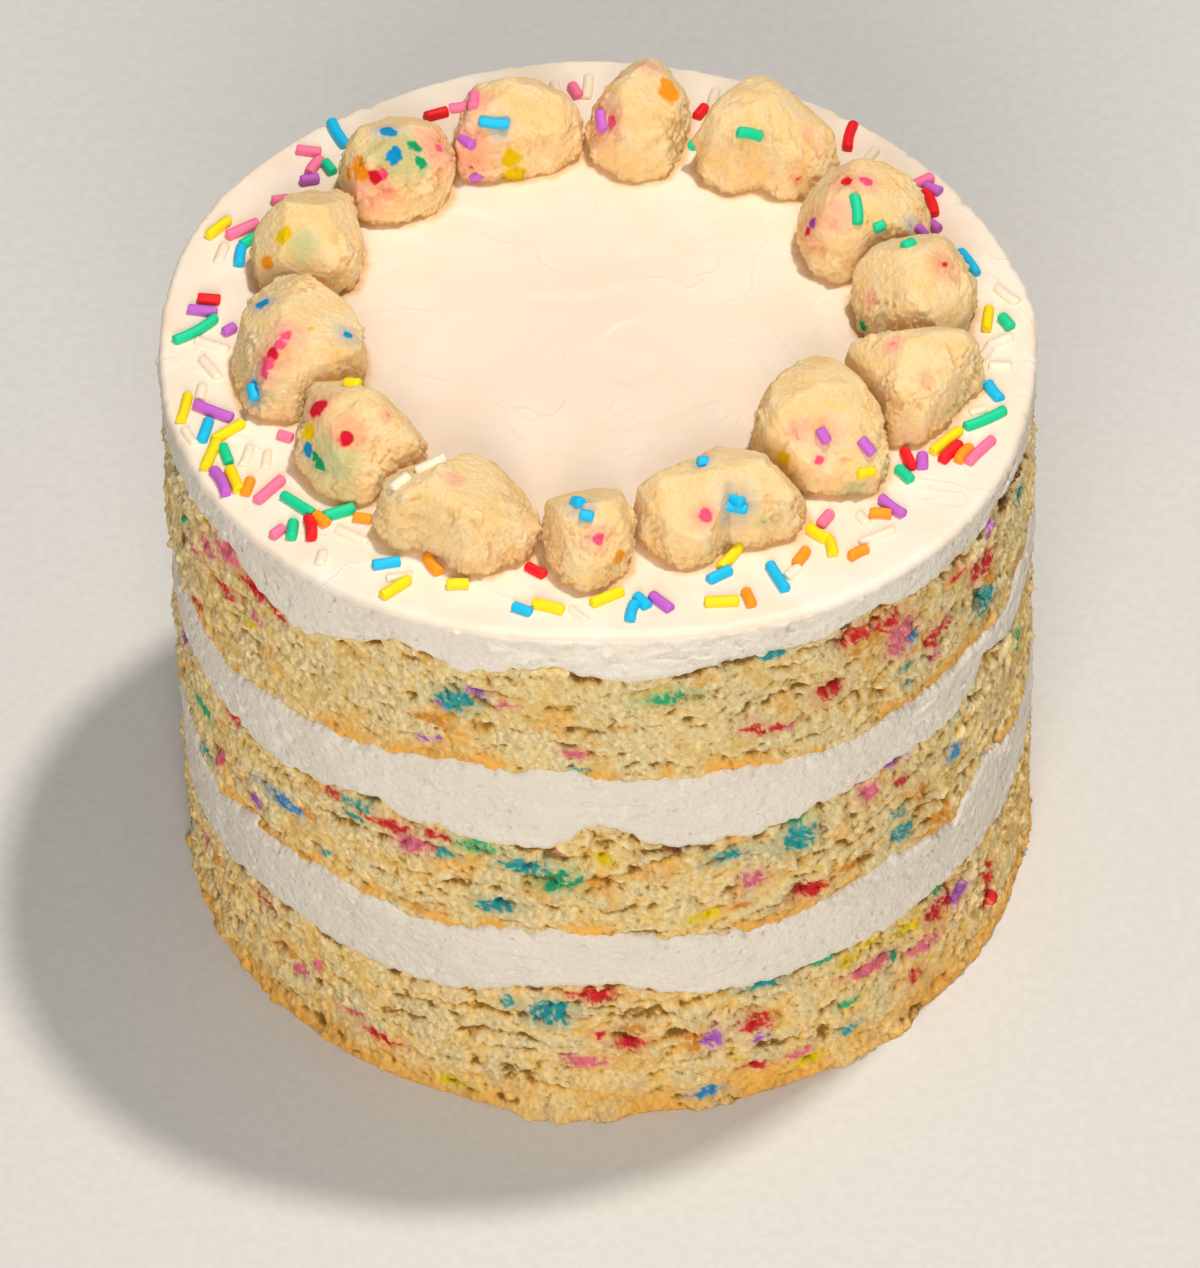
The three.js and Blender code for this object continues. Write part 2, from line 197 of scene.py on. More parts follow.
def new_material(name):
    """A material, its shader, its Object coordinates, and the function that adds its nodes."""
    material = bpy.data.materials.new(name)
    material.use_nodes = True
    nodes = material.node_tree.nodes

    def add(kind, inputs, **settings):
        """Adds a node with its settings and inputs. The word ShaderNode is left off its kind."""
        made = nodes.new("ShaderNode" + kind)
        for setting, value in settings.items():
            setattr(made, setting, value)
        plug(made, inputs)
        return made

    return material, nodes["Principled BSDF"], add("TexCoord", {}).outputs["Object"], add


def coats(add, ground, layers):
    """Lays colours over a ground, one after another. Each layer has a source, its values where
    the colour begins and is full, the share of the colour there, and the colour."""
    for source, start, full, share, colour in layers:
        share = add("MapRange", {0: source, 1: start, 2: full, 4: share})
        ground = add("Mix", {0: share, 6: ground, 7: linear(colour)}, data_type="RGBA")
    return ground


def sponge_material():
    """Confetti butter cake, torn and scraped: matt sandy crumb, dark in its tears and hollows with
    painted shade and paler on its raised crumbs with painted light, browned where it met the tin,
    with its dyed sugar melted into the crumb. The grains are 0.5 to 1 mm."""
    material, shader, place, add = new_material("confetti_sponge_crumb")
    names = ("painted_relief_shading", "golden", "crust")
    painted_relief_shading, golden, crust = [add("Attribute", {}, attribute_name=n).outputs["Fac"] for n in names]
    dye = add("Attribute", {}, attribute_name="dye")
    mottle = add("TexNoise", {"Vector": place, "Scale": 1 / 0.007, "Detail": 4})
    grain = {"Vector": place, "Scale": 1 / 0.0016, "Detail": 6, "Roughness": 0.78}
    grain = add("TexNoise", grain)
    fine = add("TexNoise", {"Vector": place, "Scale": 1 / 0.0006, "Detail": 3})
    level = add("SeparateXYZ", {0: place}).outputs["Z"]
    toasted = add("Math", {0: golden, 1: grain}, operation="MULTIPLY")
    browned = add("Math", {0: crust, 1: fine}, operation="MULTIPLY")
    layers = [
        (level, 0.02, 0.09, 1, "#F1D087"),  # paler further up; brighter and warmer low down: painted bounce light
        (mottle, 0.42, 0.6, 1, "#FFE6AA"),
        (mottle, 0.47, 0.34, 0.45, "#C79E50"),
        (painted_relief_shading, -0.05, -0.7, 0.6, "#FFE8B4"),  # crumbs that stand out, paler: painted light
        # Paler on the raised grains and darker between them: painted light and shade.
        (grain, 0.52, 0.68, 0.7, "#FFF3CC"),
        (grain, 0.46, 0.34, 0.7, "#C48A34"),
        (toasted, 0.08, 0.55, 0.95, "#FFB94C"),
        # Darker in the hollows and tears: painted shade.
        (painted_relief_shading, 0.1, 0.55, 0.75, "#CC9840"),
        (painted_relief_shading, 0.5, 1.0, 0.8, "#6E4A0C"),
        (browned, 0.2, 0.45, 0.9, "#80480F"),
    ]
    crumb = coats(add, linear("#FFD47E"), layers)
    # Dye: broken by the grains, thinner on the raised grains under their painted light, and darkened
    # with painted shade between the grains and in hollows.
    alpha = dye.outputs["Alpha"]
    speckle = add("Math", {0: grain, 1: 1.3, 2: alpha}, operation="MULTIPLY_ADD")
    stained = add("MapRange", {0: speckle, 1: 0.85, 2: 1.45, 4: 0.97})
    stained = add("Math", {0: stained, 1: alpha}, operation="MULTIPLY", use_clamp=True)
    stained = add("Math", {0: stained, 1: 0.7}, operation="POWER")
    thinner = add("MapRange", {0: grain, 1: 0.5657, 2: 0.68, 3: 1.0, 4: 0.55})
    stained = add("Math", {0: stained, 1: thinner}, operation="MULTIPLY")
    darker = [(grain, 0.46, 0.34, 0.7, "#A8A4A6"), (painted_relief_shading, 0.5, 1.0, 0.8, "#6E6A78")]
    shaded = {0: 1.0, 6: dye.outputs["Color"], 7: coats(add, linear("#FFFFFF"), darker)}
    shaded = add("Mix", shaded, data_type="RGBA", blend_type="MULTIPLY")
    crumb = add("Mix", {0: stained, 6: crumb, 7: shaded}, data_type="RGBA")
    # Relief: grains, with crumbs of 1.3 mm wandering between them.
    wander = {0: grain.outputs["Color"], 1: (0.0022, 0.0022, 0.0022), 2: place}
    wander = add("VectorMath", wander, operation="MULTIPLY_ADD")
    crumbs = add("TexVoronoi", {"Vector": wander, "Scale": 1 / 0.0013})
    height = add("Math", {0: crumbs, 1: -0.3, 2: grain}, operation="MULTIPLY_ADD")
    rough = add("MapRange", {0: mottle, 1: 0.35, 2: 0.6, 3: 0.6, 4: 1.0})
    relief = add("Bump", {"Height": height, "Strength": rough, "Distance": 0.0009})
    looks = {"Base Color": crumb, "Roughness": 0.95, "Specular IOR Level": 0.15}
    plug(shader, looks | {"Normal": relief})
    return material


def buttercream_material(name):
    """Whipped vanilla buttercream, satin with a soft fatty sheen. Scraped off, at the side, it
    has fine air pits and dragged bumps under 1 mm; its colour there is greyer and cooler, which is
    painted shade, and paler on the bumps, a painted highlight. Spread smooth, on top, it is warmer
    with painted warm light, has thin knife creases drawn darker with painted shade, grows warmer
    towards the middle and carries a golden painted shadow against the crumble."""
    material, shader, place, add = new_material(name)
    names = ("scraped_and_side_shade", "painted_contact_shade")
    scraped_and_side_shade, painted_contact_shade = [add("Attribute", {}, attribute_name=n).outputs["Fac"] for n in names]
    mottle = add("TexNoise", {"Vector": place, "Scale": 1 / 0.011, "Detail": 3})
    pits = {"Vector": place, "Scale": 1 / 0.0011, "Detail": 4, "Roughness": 0.6}
    pits = add("TexNoise", pits)
    # Paler where the fine noise stands proud as bumps: painted highlight.
    layers = [(mottle, 0.35, 0.65, 1, "#E6DCCD"), (pits, 0.56, 0.68, 0.5, "#F4EEE4")]
    # The side's colour, greyer and cooler than the top's: painted shade.
    side = coats(add, linear("#E0D5C4"), layers)
    # Knife creases: thin lines where a slow noise crosses its middle value, raised a little in the
    # relief and drawn darker in colour: painted shade.
    bent = {"Vector": place, "Scale": 1 / 0.03, "Detail": 3, "Roughness": 0.5, "Distortion": 0.8}
    bent = add("TexNoise", bent)
    away = add("Math", {0: bent, 1: 0.5}, operation="SUBTRACT")
    away = add("Math", {0: away}, operation="ABSOLUTE")
    line = add("MapRange", {0: away, 1: 0.016, 2: 0.0})
    held = add("MapRange", {0: mottle, 1: 0.35, 2: 0.65})
    crease = add("Math", {0: line, 1: held}, operation="MULTIPLY")
    reach = add("VectorMath", {0: place, 1: (1, 1, 0)}, operation="MULTIPLY")
    reach = add("VectorMath", {0: reach}, operation="LENGTH")
    layers = [
        (mottle, 0.35, 0.65, 1, "#F9ECDB"),
        (reach, 0.045, 0.012, 1, "#F5DFCA"),
        (crease, 0, 1, 0.2, "#EBD2B8"),
        # A golden painted shadow against each crumble cluster.
        (painted_contact_shade, 0, 1, 1, "#D9A95C"),
    ]
    smooth = coats(add, linear("#F6E2CB"), layers)
    # The scraped side takes the greyer, cooler colour of painted shade, and the top takes the warmer
    # one of painted warm light.
    cream = add("Mix", {0: scraped_and_side_shade, 6: smooth, 7: side}, data_type="RGBA")
    # Relief at the side: bubbles of every size up to 1.4 mm across, and finer pits.
    bubbles = add("TexVoronoi", {"Vector": place, "Scale": 1 / 0.0024})
    size = add("SeparateColor", {0: bubbles.outputs["Color"]})
    size = add("MapRange", {0: size, 1: 0.45, 2: 1.0, 4: 0.3})
    dots = add("MapRange", {0: bubbles.outputs["Distance"], 1: size, 2: 0.0})
    fine = add("Math", {0: pits, 1: 0.6}, operation="MULTIPLY")
    pocked = add("Math", {0: dots, 1: -0.4, 2: fine}, operation="MULTIPLY_ADD")
    pocked = add("Math", {0: pocked, 1: scraped_and_side_shade}, operation="MULTIPLY")
    height = add("Math", {0: crease, 1: 0.12, 2: pocked}, operation="MULTIPLY_ADD")
    relief = add("Bump", {"Height": height, "Strength": 1.0, "Distance": 0.0008})
    fat = {"Subsurface Weight": 0.1, "Subsurface Radius": (1, 0.75, 0.5), "Subsurface Scale": 0.0015}
    looks = {"Base Color": cream, "Roughness": 0.55, "IOR": 1.46, "Normal": relief}
    plug(shader, looks | fat)
    return material


def crumble_material():
    """Baked butter crumble: sandy and matt, pale with golden edges, its grains about 0.5 mm, and
    dyed where a sprinkle melted."""
    material, shader, place, add = new_material("baked_butter_crumble")
    names = ("painted_relief_shading", "golden")
    painted_relief_shading, golden = [add("Attribute", {}, attribute_name=n).outputs["Fac"] for n in names]
    dye = add("Attribute", {}, attribute_name="dye")
    mottle = add("TexNoise", {"Vector": place, "Scale": 1 / 0.005, "Detail": 5})
    grain = {"Vector": place, "Scale": 1 / 0.0011, "Detail": 6, "Roughness": 0.75}
    grain = add("TexNoise", grain)
    toasted = add("Math", {0: golden, 1: grain}, operation="MULTIPLY")
    layers = [
        (mottle, 0.36, 0.62, 1, "#FFE0AC"),
        # Paler on the raised grains and darker between them: painted light and shade.
        (grain, 0.52, 0.66, 0.8, "#FFEBC2"),
        (grain, 0.46, 0.34, 0.45, "#EDB66A"),
        (toasted, 0.15, 0.65, 0.4, "#EFB870"),
        # Darker in pits and creases: painted shade.
        (painted_relief_shading, 0, 1, 0.5, "#C9954A"),
    ]
    crumb = coats(add, linear("#FFD592"), layers)
    alpha = dye.outputs["Alpha"]
    speckle = add("Math", {0: grain, 1: 0.7, 2: alpha}, operation="MULTIPLY_ADD")
    stained = add("MapRange", {0: speckle, 1: 0.32, 2: 1.15})
    dyed = add("Mix", {0: stained, 6: crumb, 7: dye.outputs["Color"]}, data_type="RGBA")
    sand = add("TexVoronoi", {"Vector": place, "Scale": 1 / 0.0008})
    height = add("Math", {0: sand, 1: -0.5, 2: grain}, operation="MULTIPLY_ADD")
    relief = add("Bump", {"Height": height, "Strength": 0.8, "Distance": 0.00045})
    butter = {"Subsurface Weight": 0.3, "Subsurface Radius": (1, 0.8, 0.5), "Subsurface Scale": 0.003}
    looks = {"Base Color": dyed, "Roughness": 0.9, "Specular IOR Level": 0.2, "Normal": relief}
    plug(shader, looks | butter)
    return material


def rod_material(name, code):
    """A sugar rod, strongly coloured right through, satin and slightly pitted."""
    material, shader, place, add = new_material(name)
    pits = add("TexNoise", {"Vector": place, "Scale": 1 / 0.0008, "Detail": 2})
    share = add("MapRange", {0: pits, 1: 0.35, 2: 0.7, 4: 0.25})
    colour = linear(code)
    darker = [0.88 * part for part in colour[:3]] + [1]
    tint = add("Mix", {0: share, 6: colour, 7: darker}, data_type="RGBA")
    relief = add("Bump", {"Height": pits, "Strength": 0.25, "Distance": 0.0002})
    looks = {"Base Color": tint, "Roughness": 0.55, "Specular IOR Level": 0.35, "Normal": relief}
    plug(shader, looks)
    return material


# --- The layers ---


def turn_from(at, clock):
    """The turn from one clock angle to another, -180 to 180."""
    return (clock - at + 180) % 360 - 180


def swell_at(swells, clock):
    return sum(rise * np.exp(-((turn_from(at, clock) / spread) ** 2)) for at, rise, spread in swells)


def seam_under(node):
    """The height of the seam under a packed layer, at each of the solids' columns."""
    points = points_of(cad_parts[node])
    radius = np.hypot(points[:, 0], points[:, 1])
    rim = points[np.abs(radius - SEAM_RADIUS) < 0.02]
    clock = np.degrees(np.arctan2(rim[:, 0], -rim[:, 1]))
    column = np.round(clock * SOLID_COLUMNS / 360).astype(int) % SOLID_COLUMNS
    heights = np.full(SOLID_COLUMNS, np.inf)
    np.minimum.at(heights, column, rim[:, 2])
    return heights - LAYER_GAP / 2


UPPER_LAYERS = ["frosting_lower", "sponge_middle", "frosting_middle", "sponge_top", "frosting_top"]
SEAMS = [seam_under(node) for node in UPPER_LAYERS]


def turned(radius, clock, height):
    """Points from their radius, clock angle and height."""
    angle = np.radians(clock)
    return np.stack([radius * np.sin(angle), -radius * np.cos(angle), height], -1)


def ring(clock, size, seed, octaves=3):
    """Noise along the seam radius, joined where it comes round."""
    return soft_noise(turned(SEAM_RADIUS, clock, 0 * clock), size, seed, octaves)


def seam_height(number, clock):
    """A seam's ragged height at each clock angle."""
    count = len(clock)
    around = np.append(SEAMS[number], SEAMS[number][0])
    smooth = np.interp(clock % 360, np.linspace(0, 360, SOLID_COLUMNS + 1), around)
    reach = count // 240
    smooth = sum(np.roll(smooth, k) for k in range(-reach, reach + 1)) / (2 * reach + 1)
    ragged = 0.9 * ring(clock, 6, 20 + number) + 0.75 * ring(clock, 2.2, 30 + number, 3)
    return smooth + ragged


def drum(name, rows, below, above, rings=(SEAM_RADIUS - CORE_RADIUS,)):
    """A closed drum between two seams: a cylinder cut into rows, its ends inset and poked. rings
    are the insets of its upper end. Returns it with its wall's vertices by row and column."""
    columns, bottom, top = len(above), below.mean(), above.mean()
    middle, depth = (top + bottom) / 2 * MM, (top - bottom) * MM
    sizes = {"vertices": columns, "radius": SEAM_RADIUS * MM, "depth": depth}
    piece = new_cylinder(**sizes, location=(0, 0, middle))
    piece.name = piece.data.name = name
    select_parts(piece, "edges", lambda e: abs(e.verts[0].co.z - e.verts[1].co.z) > depth / 2)
    bpy.ops.mesh.subdivide(number_cuts=rows - 1)

    def is_end(face, upper):
        return len(face.verts) == columns and (face.calc_center_median().z > middle) == upper

    for upper, steps in (False, [SEAM_RADIUS - CORE_RADIUS]), (True, rings):
        select_parts(piece, "faces", lambda face: is_end(face, upper))
        for step in steps:
            bpy.ops.mesh.inset(thickness=step * MM)
        bpy.ops.mesh.poke()
    bpy.ops.object.mode_set(mode="OBJECT")
    points = points_of(piece)
    radius = np.hypot(points[:, 0], points[:, 1])
    wall = np.flatnonzero(radius > SEAM_RADIUS - 0.05)
    clock = np.degrees(np.arctan2(points[wall, 0], -points[wall, 1]))
    column = np.round(clock * columns / 360).astype(int) % columns
    row = np.round((points[wall, 2] - bottom) / (top - bottom) * rows).astype(int)
    grid = np.full((rows + 1, columns), -1)
    grid[row, column] = wall
    return piece, grid


def wall_places(below, above, share):
    """The height, clock angle and place of each vertex of a wall between two seams."""
    height = below + (above - below) * share
    clocks = np.broadcast_to(np.arange(len(above)) * 360 / len(above), height.shape)
    return height, clocks, turned(SEAM_RADIUS, clocks, height)


def shape_wall(piece, grid, radius, clocks, height):
    """Puts the wall's vertices at a radius and height, row by row."""
    points = points_of(piece)
    points[grid] = turned(radius, clocks, height)
    move_points(piece, points)


def local_mean(values, rows, columns):
    """The mean of the values within that many rows and columns, on a wall that goes round."""
    total = values.copy()
    for k in range(1, columns + 1):
        total += np.roll(values, k, 1) + np.roll(values, -k, 1)
    total /= 2 * columns + 1
    padded = np.pad(total, ((rows, rows), (0, 0)), mode="edge")
    return sum(padded[k : k + len(values)] for k in range(2 * rows + 1)) / (2 * rows + 1)


def spread(piece, grid, values, outside=0.0):
    """A value for every vertex of the piece from those of its wall."""
    full = np.full((len(piece.data.vertices), *values.shape[2:]), outside, float)
    full[grid] = values
    return full


def lay_dye(colour, strength, code):
    """Colours the places where this dye is stronger than those before it, its strength in alpha."""
    over = strength > colour[..., 3]
    colour[over, :3] = linear(code)[:3]
    colour[over, 3] = strength[over]


def stain(clocks, height, points, spots, seed):
    """The colour of the dyed sugar that has melted in at each place."""
    warp = 1.1 * soft_noise(points, 2.2, seed, 3)
    warp_up = 0.8 * soft_noise(points, 2.2, seed + 7, 3)
    torn = 0.4 * soft_noise(points, 1.1, seed + 3, 2)
    broken = 0.45 + 0.55 * fade(crumbly(points, 2.2, seed + 11, 3), 0.12, 0.4)
    colour = np.zeros((*clocks.shape, 4))
    for at, z, across, tall, key in spots:
        along = turn_from(at, clocks) * DEGREE + warp
        away = np.hypot(along / (0.8 * across), (height - z + warp_up) / (0.75 * tall)) + torn
        heart = broken * (1 - fade(away, 0.7, 1.05))
        halo = 0.42 * (1 - fade(away, 0.9, 2.5)) if across > 1.6 else 0
        lay_dye(colour, np.maximum(heart, halo), DYES[key])
    return colour


def scattered_spots(seed, count, low, high):
    """Small seeded spots of dye between two heights, round the back."""
    draw = seeded(seed)
    spots = []
    for _ in range(count):
        at, z = draw(95, 265), draw(low, high)
        across = draw(1.0, 4.5)
        spots.append((at, z, across, draw(0.8, 2.6), "tgbrpvyotrp"[int(draw(0, 11))]))
    return spots


SPONGE_STEP = 0.4  # height of a row of the sponge's wall
SPONGE_COLUMNS = 1260
SPONGE_REACH = 0.3  # how far up and down a sponge goes on behind the frosting
CURD, GRAIN = 4.2, 1.9  # sizes of the crumb's lumps
# Flakes at the foot: clock angle, rise, spread in degrees.
FLAKES = [(-9, 1.5, 5), (-2, 1.2, 3), (13, 0.8, 4), (33, 1, 4), (41, 0.7, 3)]


def sponge_layer(name, node, lower, upper, spots, seed, foot=False):
    """A sponge, its torn crumb standing in and out, browned at its lower edge and on top."""
    clock = np.arange(SPONGE_COLUMNS) * 360 / SPONGE_COLUMNS
    below = 0 * clock if foot else seam_height(lower, clock) - SPONGE_REACH
    above = seam_height(upper, clock) + SPONGE_REACH
    rows = round((above.mean() - below.mean()) / SPONGE_STEP)
    piece, grid = drum(name, rows, below, above)
    share = np.linspace(0, 1, rows + 1)[:, None]
    height, clocks, points = wall_places(below, above, share)
    # The crumb: curds and grains, lumpier in some places, and tears that run along the layer.
    big = soft_noise(points, 14, seed, 2)
    swerve = points + (0, 0, 1) * (1.6 * big[..., None])
    swerve = swerve + 0.7 * soft_noise(points, 2.8, seed + 6, 2)[..., None]
    curds = crumbly(swerve * (0.75, 0.75, 1), CURD, seed + 1, 5)
    grains = crumbly(points + 0.5 * big[..., None], GRAIN, seed + 2, 3)
    tears = fade(soft_noise(swerve * (0.35, 0.35, 1), 3.0, seed + 4, 3), 0.14, 0.45)
    lumpy = fade(soft_noise(points * (0.5, 0.5, 1), 10, seed + 12, 2), -0.35, 0.25)
    relief = 0.5 * big + (0.9 + 0.5 * lumpy) * (curds - 0.45) - 1.1 * tears * (0.4 + 0.6 * lumpy)
    relief += (0.5 + 0.3 * lumpy) * (grains - 0.4) + 0.2
    # It tucks in under the frosting, more where the blotchy crust has shrunk back.
    tuck = fade(share, 0, 0.02) * (1 - fade(share, 0.98, 1))
    high, low = above - height, height - below
    blotchy = soft_noise(points, 5, seed + 10, 3)
    under = (1 - fade(high, 0.8, 3.2)) * fade(blotchy, 0, 0.4)
    radius = SEAM_RADIUS + 0.15 + relief * (0.35 + 0.65 * tuck) - 1.3 * under * tuck
    # Painted shade where the crumb lies below its neighbours, and painted light where it stands out.
    near, wide = local_mean(radius, 3, 5), local_mean(radius, 8, 16)
    painted_relief_shading = np.maximum(fade(near - radius, 0.06, 0.6), fade(wide - radius, 0.2, 1.1))
    painted_relief_shading -= fade(radius - near, 0.05, 0.5)
    patchy = soft_noise(points, 9, seed + 8, 3)
    if foot:
        flakes = crumbly(points * (0.7, 0.7, 1), 4.4, seed + 7, 4)
        lips = (0.3 + 2.6 * swell_at(FLAKES, clock)) * (0.75 * flakes + 0.3)
        radius = radius + np.exp(-((height / 2.2) ** 2)) * lips + 0.25 * np.exp(-height / 5)
        golden = 1 - 0.8 * fade(low, 0.5 + 3 * patchy, 8 + 6 * patchy)
        golden -= 0.5 * np.minimum(swell_at(FLAKES, clock), 1) * (1 - fade(low, 1, 5))
    else:
        golden = (1 - fade(low, 0.8, 4.5 + 4 * patchy)) * fade(patchy, -0.3, 0.2)
        golden = np.maximum(golden, 0.7 * fade(patchy, 0.32, 0.6))
    shape_wall(piece, grid, radius, clocks, height)
    crust = (1 - fade(high, 0.6, 1.4 + 3 * np.maximum(blotchy, 0))) * fade(blotchy, -0.02, 0.3)
    dye = stain(clocks, height, points, spots, seed + 9)
    looks = {"painted_relief_shading": painted_relief_shading, "golden": golden, "crust": crust, "dye": dye}
    looks = {label: spread(piece, grid, values) for label, values in looks.items()}
    dress(piece, SPONGE, node, looks)


def pitted(clocks, height, low, high, seed, count):
    """The depth of small air pits, a few of them scratches, scattered over a wall. Some are
    blobs that stand proud, with a depth below 0."""
    draw = seeded(seed)
    depth = np.zeros(height.shape)
    for _ in range(count):
        at, z = draw(0, 360), draw(low, high)
        tall = draw(0.4, 1.0)
        across = tall * (draw(2, 6) if draw() < 0.25 else draw(0.9, 1.8))
        along = turn_from(at, clocks[0]) * DEGREE
        columns = np.abs(along) < 2 * across
        away = np.hypot(along[columns] / across, (height[:, columns] - z) / tall)
        deep = draw(0.2, 0.7) * (-0.6 if draw() < 0.4 else 1)
        depth[:, columns] += deep * (1 - fade(away, 0.2, 1))
    return depth


def scrapes(points, seed):
    """The relief of a scraped side: slow waves and the scraper's streaks."""
    waves = soft_noise(points * (1, 1, 1.5), 12, seed, 2)
    return 0.12 * waves + 0.2 * soft_noise(points * (0.6, 0.6, 1), 1.9, seed + 1, 3)


def side_radius(clock):
    return CAKE_RADIUS + 0.6 * swell_at(RIM_SWELLS, clock) + 0.2 * ring(clock, 30, 3, 1)


FROSTING_COLUMNS = 1440
FROSTING_STEP = 0.36
FROSTING_SEAT = SEAM_RADIUS - 0.3  # where its ragged edges meet the crumb


def frosting_band(name, node, lower, upper, seed):
    """A band of frosting between two sponges: scraped nearly smooth, its edges ragged."""
    clock = np.arange(FROSTING_COLUMNS) * 360 / FROSTING_COLUMNS
    below, above = seam_height(lower, clock), seam_height(upper, clock)
    rows = round((above.mean() - below.mean()) / FROSTING_STEP)
    piece, grid = drum(name, rows, below, above)
    share = np.linspace(0, 1, rows + 1)[:, None]
    share = share - 0.035 * np.sin(2 * math.pi * share)  # rows lie closer near the edges
    height, clocks, points = wall_places(below, above, share)
    pits = pitted(clocks, height, below.min(), above.max(), seed, 900)
    radius = side_radius(clock) + scrapes(points, seed) - pits
    lip = np.sqrt(np.clip(np.minimum(height - below, above - height) / 1.8, 0, 1))
    radius = FROSTING_SEAT + (radius - FROSTING_SEAT) * lip
    crest = 0.2 * np.exp(-(((above - height - 0.8) / 0.6) ** 2))
    radius += crest * fade(ring(clock, 6, seed + 2), -0.1, 0.4)
    shape_wall(piece, grid, radius, clocks, height)
    # All of the band has the scraped relief and the painted shade of the side colour.
    scraped_and_side_shade = np.ones(len(piece.data.vertices))
    dress(piece, SIDE_FROSTING, node, {"scraped_and_side_shade": scraped_and_side_shade})


TOP_COLUMNS = 900
TOP_SIDE_ROWS = 26
RIM_BAND = 4.8  # the outermost rings of the top, which follow its round edge
TOP_RINGS = [RIM_BAND / 6] * 6 + [1.05] * 64  # widths, from the edge in
TOP_TEARS = [(64, 107.5, 5), (52, 107, 4), (43, 106.5, 3), (-33, 108, 3)]  # clock, height, reach
TEAR_DEPTH = 0.8
FRONT_LEAN = 4.0  # how far the front of the band leans back
FRONT_SPREAD = 26  # degrees to each side


def top_height(x, y):
    return TOP_HEIGHT - TOP_FALL[0] * x - TOP_FALL[1] * y


def swirls(x, y):
    """The marks of the palette knife on the top: low overlapping plates with soft edges."""
    points = np.stack([x, y, 0 * x], 1)
    arc = np.hypot(x - 6, y + 2) / 14 + 0.8 * soft_noise(points, 30, 61, 2)
    held = fade(soft_noise(points, 24, 64, 1), -0.2, 0.2)
    plates = sum(fade(arc, level, level + 0.08) for level in np.arange(0.7, 6, 0.8))
    broad = soft_noise(points * (0.6, 1.2, 1), 18, 62, 2)
    return 0.2 * held * (plates - arc / 0.8 + 1) + 0.2 * broad


def contact_shade_round(points, clusters):
    """How much golden painted shadow lies on each point of the top: most against a cluster."""
    feet = np.concatenate([points_of(cluster) for cluster in clusters])
    feet = feet[feet[:, 2] < top_height(feet[:, 0], feet[:, 1]) + 1]
    tree = KDTree(len(feet))
    for number, foot in enumerate(feet):
        tree.insert(foot, number)
    tree.balance()
    away = np.array([tree.find(point)[2] for point in points])
    return 0.75 * (1 - fade(away, 0.5, 1.9))


def spread_top(name, node, clusters):
    """The top layer: a scraped side with a ragged lower edge, a soft rim and a knife-marked top."""
    clock = np.arange(TOP_COLUMNS) * 360 / TOP_COLUMNS
    below = seam_height(4, clock)
    radius = side_radius(clock)
    rim_x, rim_y, _ = turned(radius, clock, 0 * clock).T
    above = top_height(rim_x, rim_y) - RIM_RADIUS
    piece, grid = drum(name, TOP_SIDE_ROWS, below, above, TOP_RINGS)
    share = np.linspace(0, 1, TOP_SIDE_ROWS + 1)[:, None]
    height, clocks, points = wall_places(below, above, share)
    wall = radius + scrapes(points, 71)
    wall -= pitted(clocks, height, below.min(), above.max() - 1, 73, 700)
    for at, z, across in TOP_TEARS:
        along = turn_from(at, clocks) * DEGREE
        wander = 0.4 * np.sin(along / 1.7) + 0.05 * along
        away = np.hypot(along / across, (height - z - wander) / 0.6)
        wall -= TEAR_DEPTH * (1 - fade(away, 0.3, 1))
    lean = FRONT_LEAN * np.exp(-((turn_from(0, clocks) / FRONT_SPREAD) ** 2))
    wall -= lean * (1 - fade(above - height, -4, 9))
    lip = np.sqrt(np.clip((height - below) / 1.4, 0, 1))
    wall = FROSTING_SEAT + (wall - FROSTING_SEAT) * lip
    shape_wall(piece, grid, wall, clocks, height)
    # The upper end: its rings follow the rim's round edge, then the knife-marked top.
    full = points_of(piece)
    flat = np.hypot(full[:, 0], full[:, 1])
    upper = np.setdiff1d(np.flatnonzero(full[:, 2] > above.mean() - 0.01), grid.ravel())
    upper = upper[flat[upper] < SEAM_RADIUS - 0.05]
    turn = np.degrees(np.arctan2(full[upper, 0], -full[upper, 1])) % 360
    edge = np.interp(turn, np.append(clock, 360), np.append(wall[-1], wall[-1][0]))
    inset = SEAM_RADIUS - flat[upper]
    rim_turn = np.clip(inset / RIM_BAND, 0, 1) * math.pi / 2
    on_rim = inset < RIM_BAND + 0.01
    inner = (edge - RIM_RADIUS) * flat[upper] / (SEAM_RADIUS - RIM_BAND)
    out = np.where(on_rim, edge - RIM_RADIUS * (1 - np.cos(rim_turn)), inner)
    x, y, _ = turned(out, turn, 0 * turn).T
    rise = np.where(on_rim, RIM_RADIUS * (np.sin(rim_turn) - 1), 0)
    rise += swirls(x, y) * fade(inset, 1, 8)
    full[upper] = np.stack([x, y, top_height(x, y) + rise], 1)
    move_points(piece, full)
    # Golden painted shadow on the top round the foot of each cluster.
    painted_contact_shade = np.zeros(len(full))
    painted_contact_shade[upper] = contact_shade_round(full[upper], clusters)
    # The side has the scraped relief and the painted shade of the side colour; the top and the edge of
    # the rim have neither.
    scraped_and_side_shade = spread(piece, grid, fade(above - height, 0, 0.8), 1)
    scraped_and_side_shade[upper] = 0
    dress(piece, TOP_FROSTING, node, {"painted_contact_shade": painted_contact_shade, "scraped_and_side_shade": scraped_and_side_shade})


# --- Crumble clusters and sprinkles ---

# Each sugar colour: its name, the rod's colour, and its colour once melted into crumble.
ROD_COLOURS = {
    "y": ("yellow", "#FDE000", "#E9C300"),
    "b": ("blue", "#0CC0F4", "#0892C8"),
    "g": ("green", "#0CD29A", "#12A468"),
    "k": ("pink", "#FD7BA5", "#F8587F"),
    "r": ("red", "#F3101F", "#D9142E"),
    "v": ("purple", "#C664D0", "#9B3AA8"),
    "o": ("orange", "#FE9C14", "#F79A1E"),
    "w": ("white", "#F9E7CE", "#F9E7CE"),
}

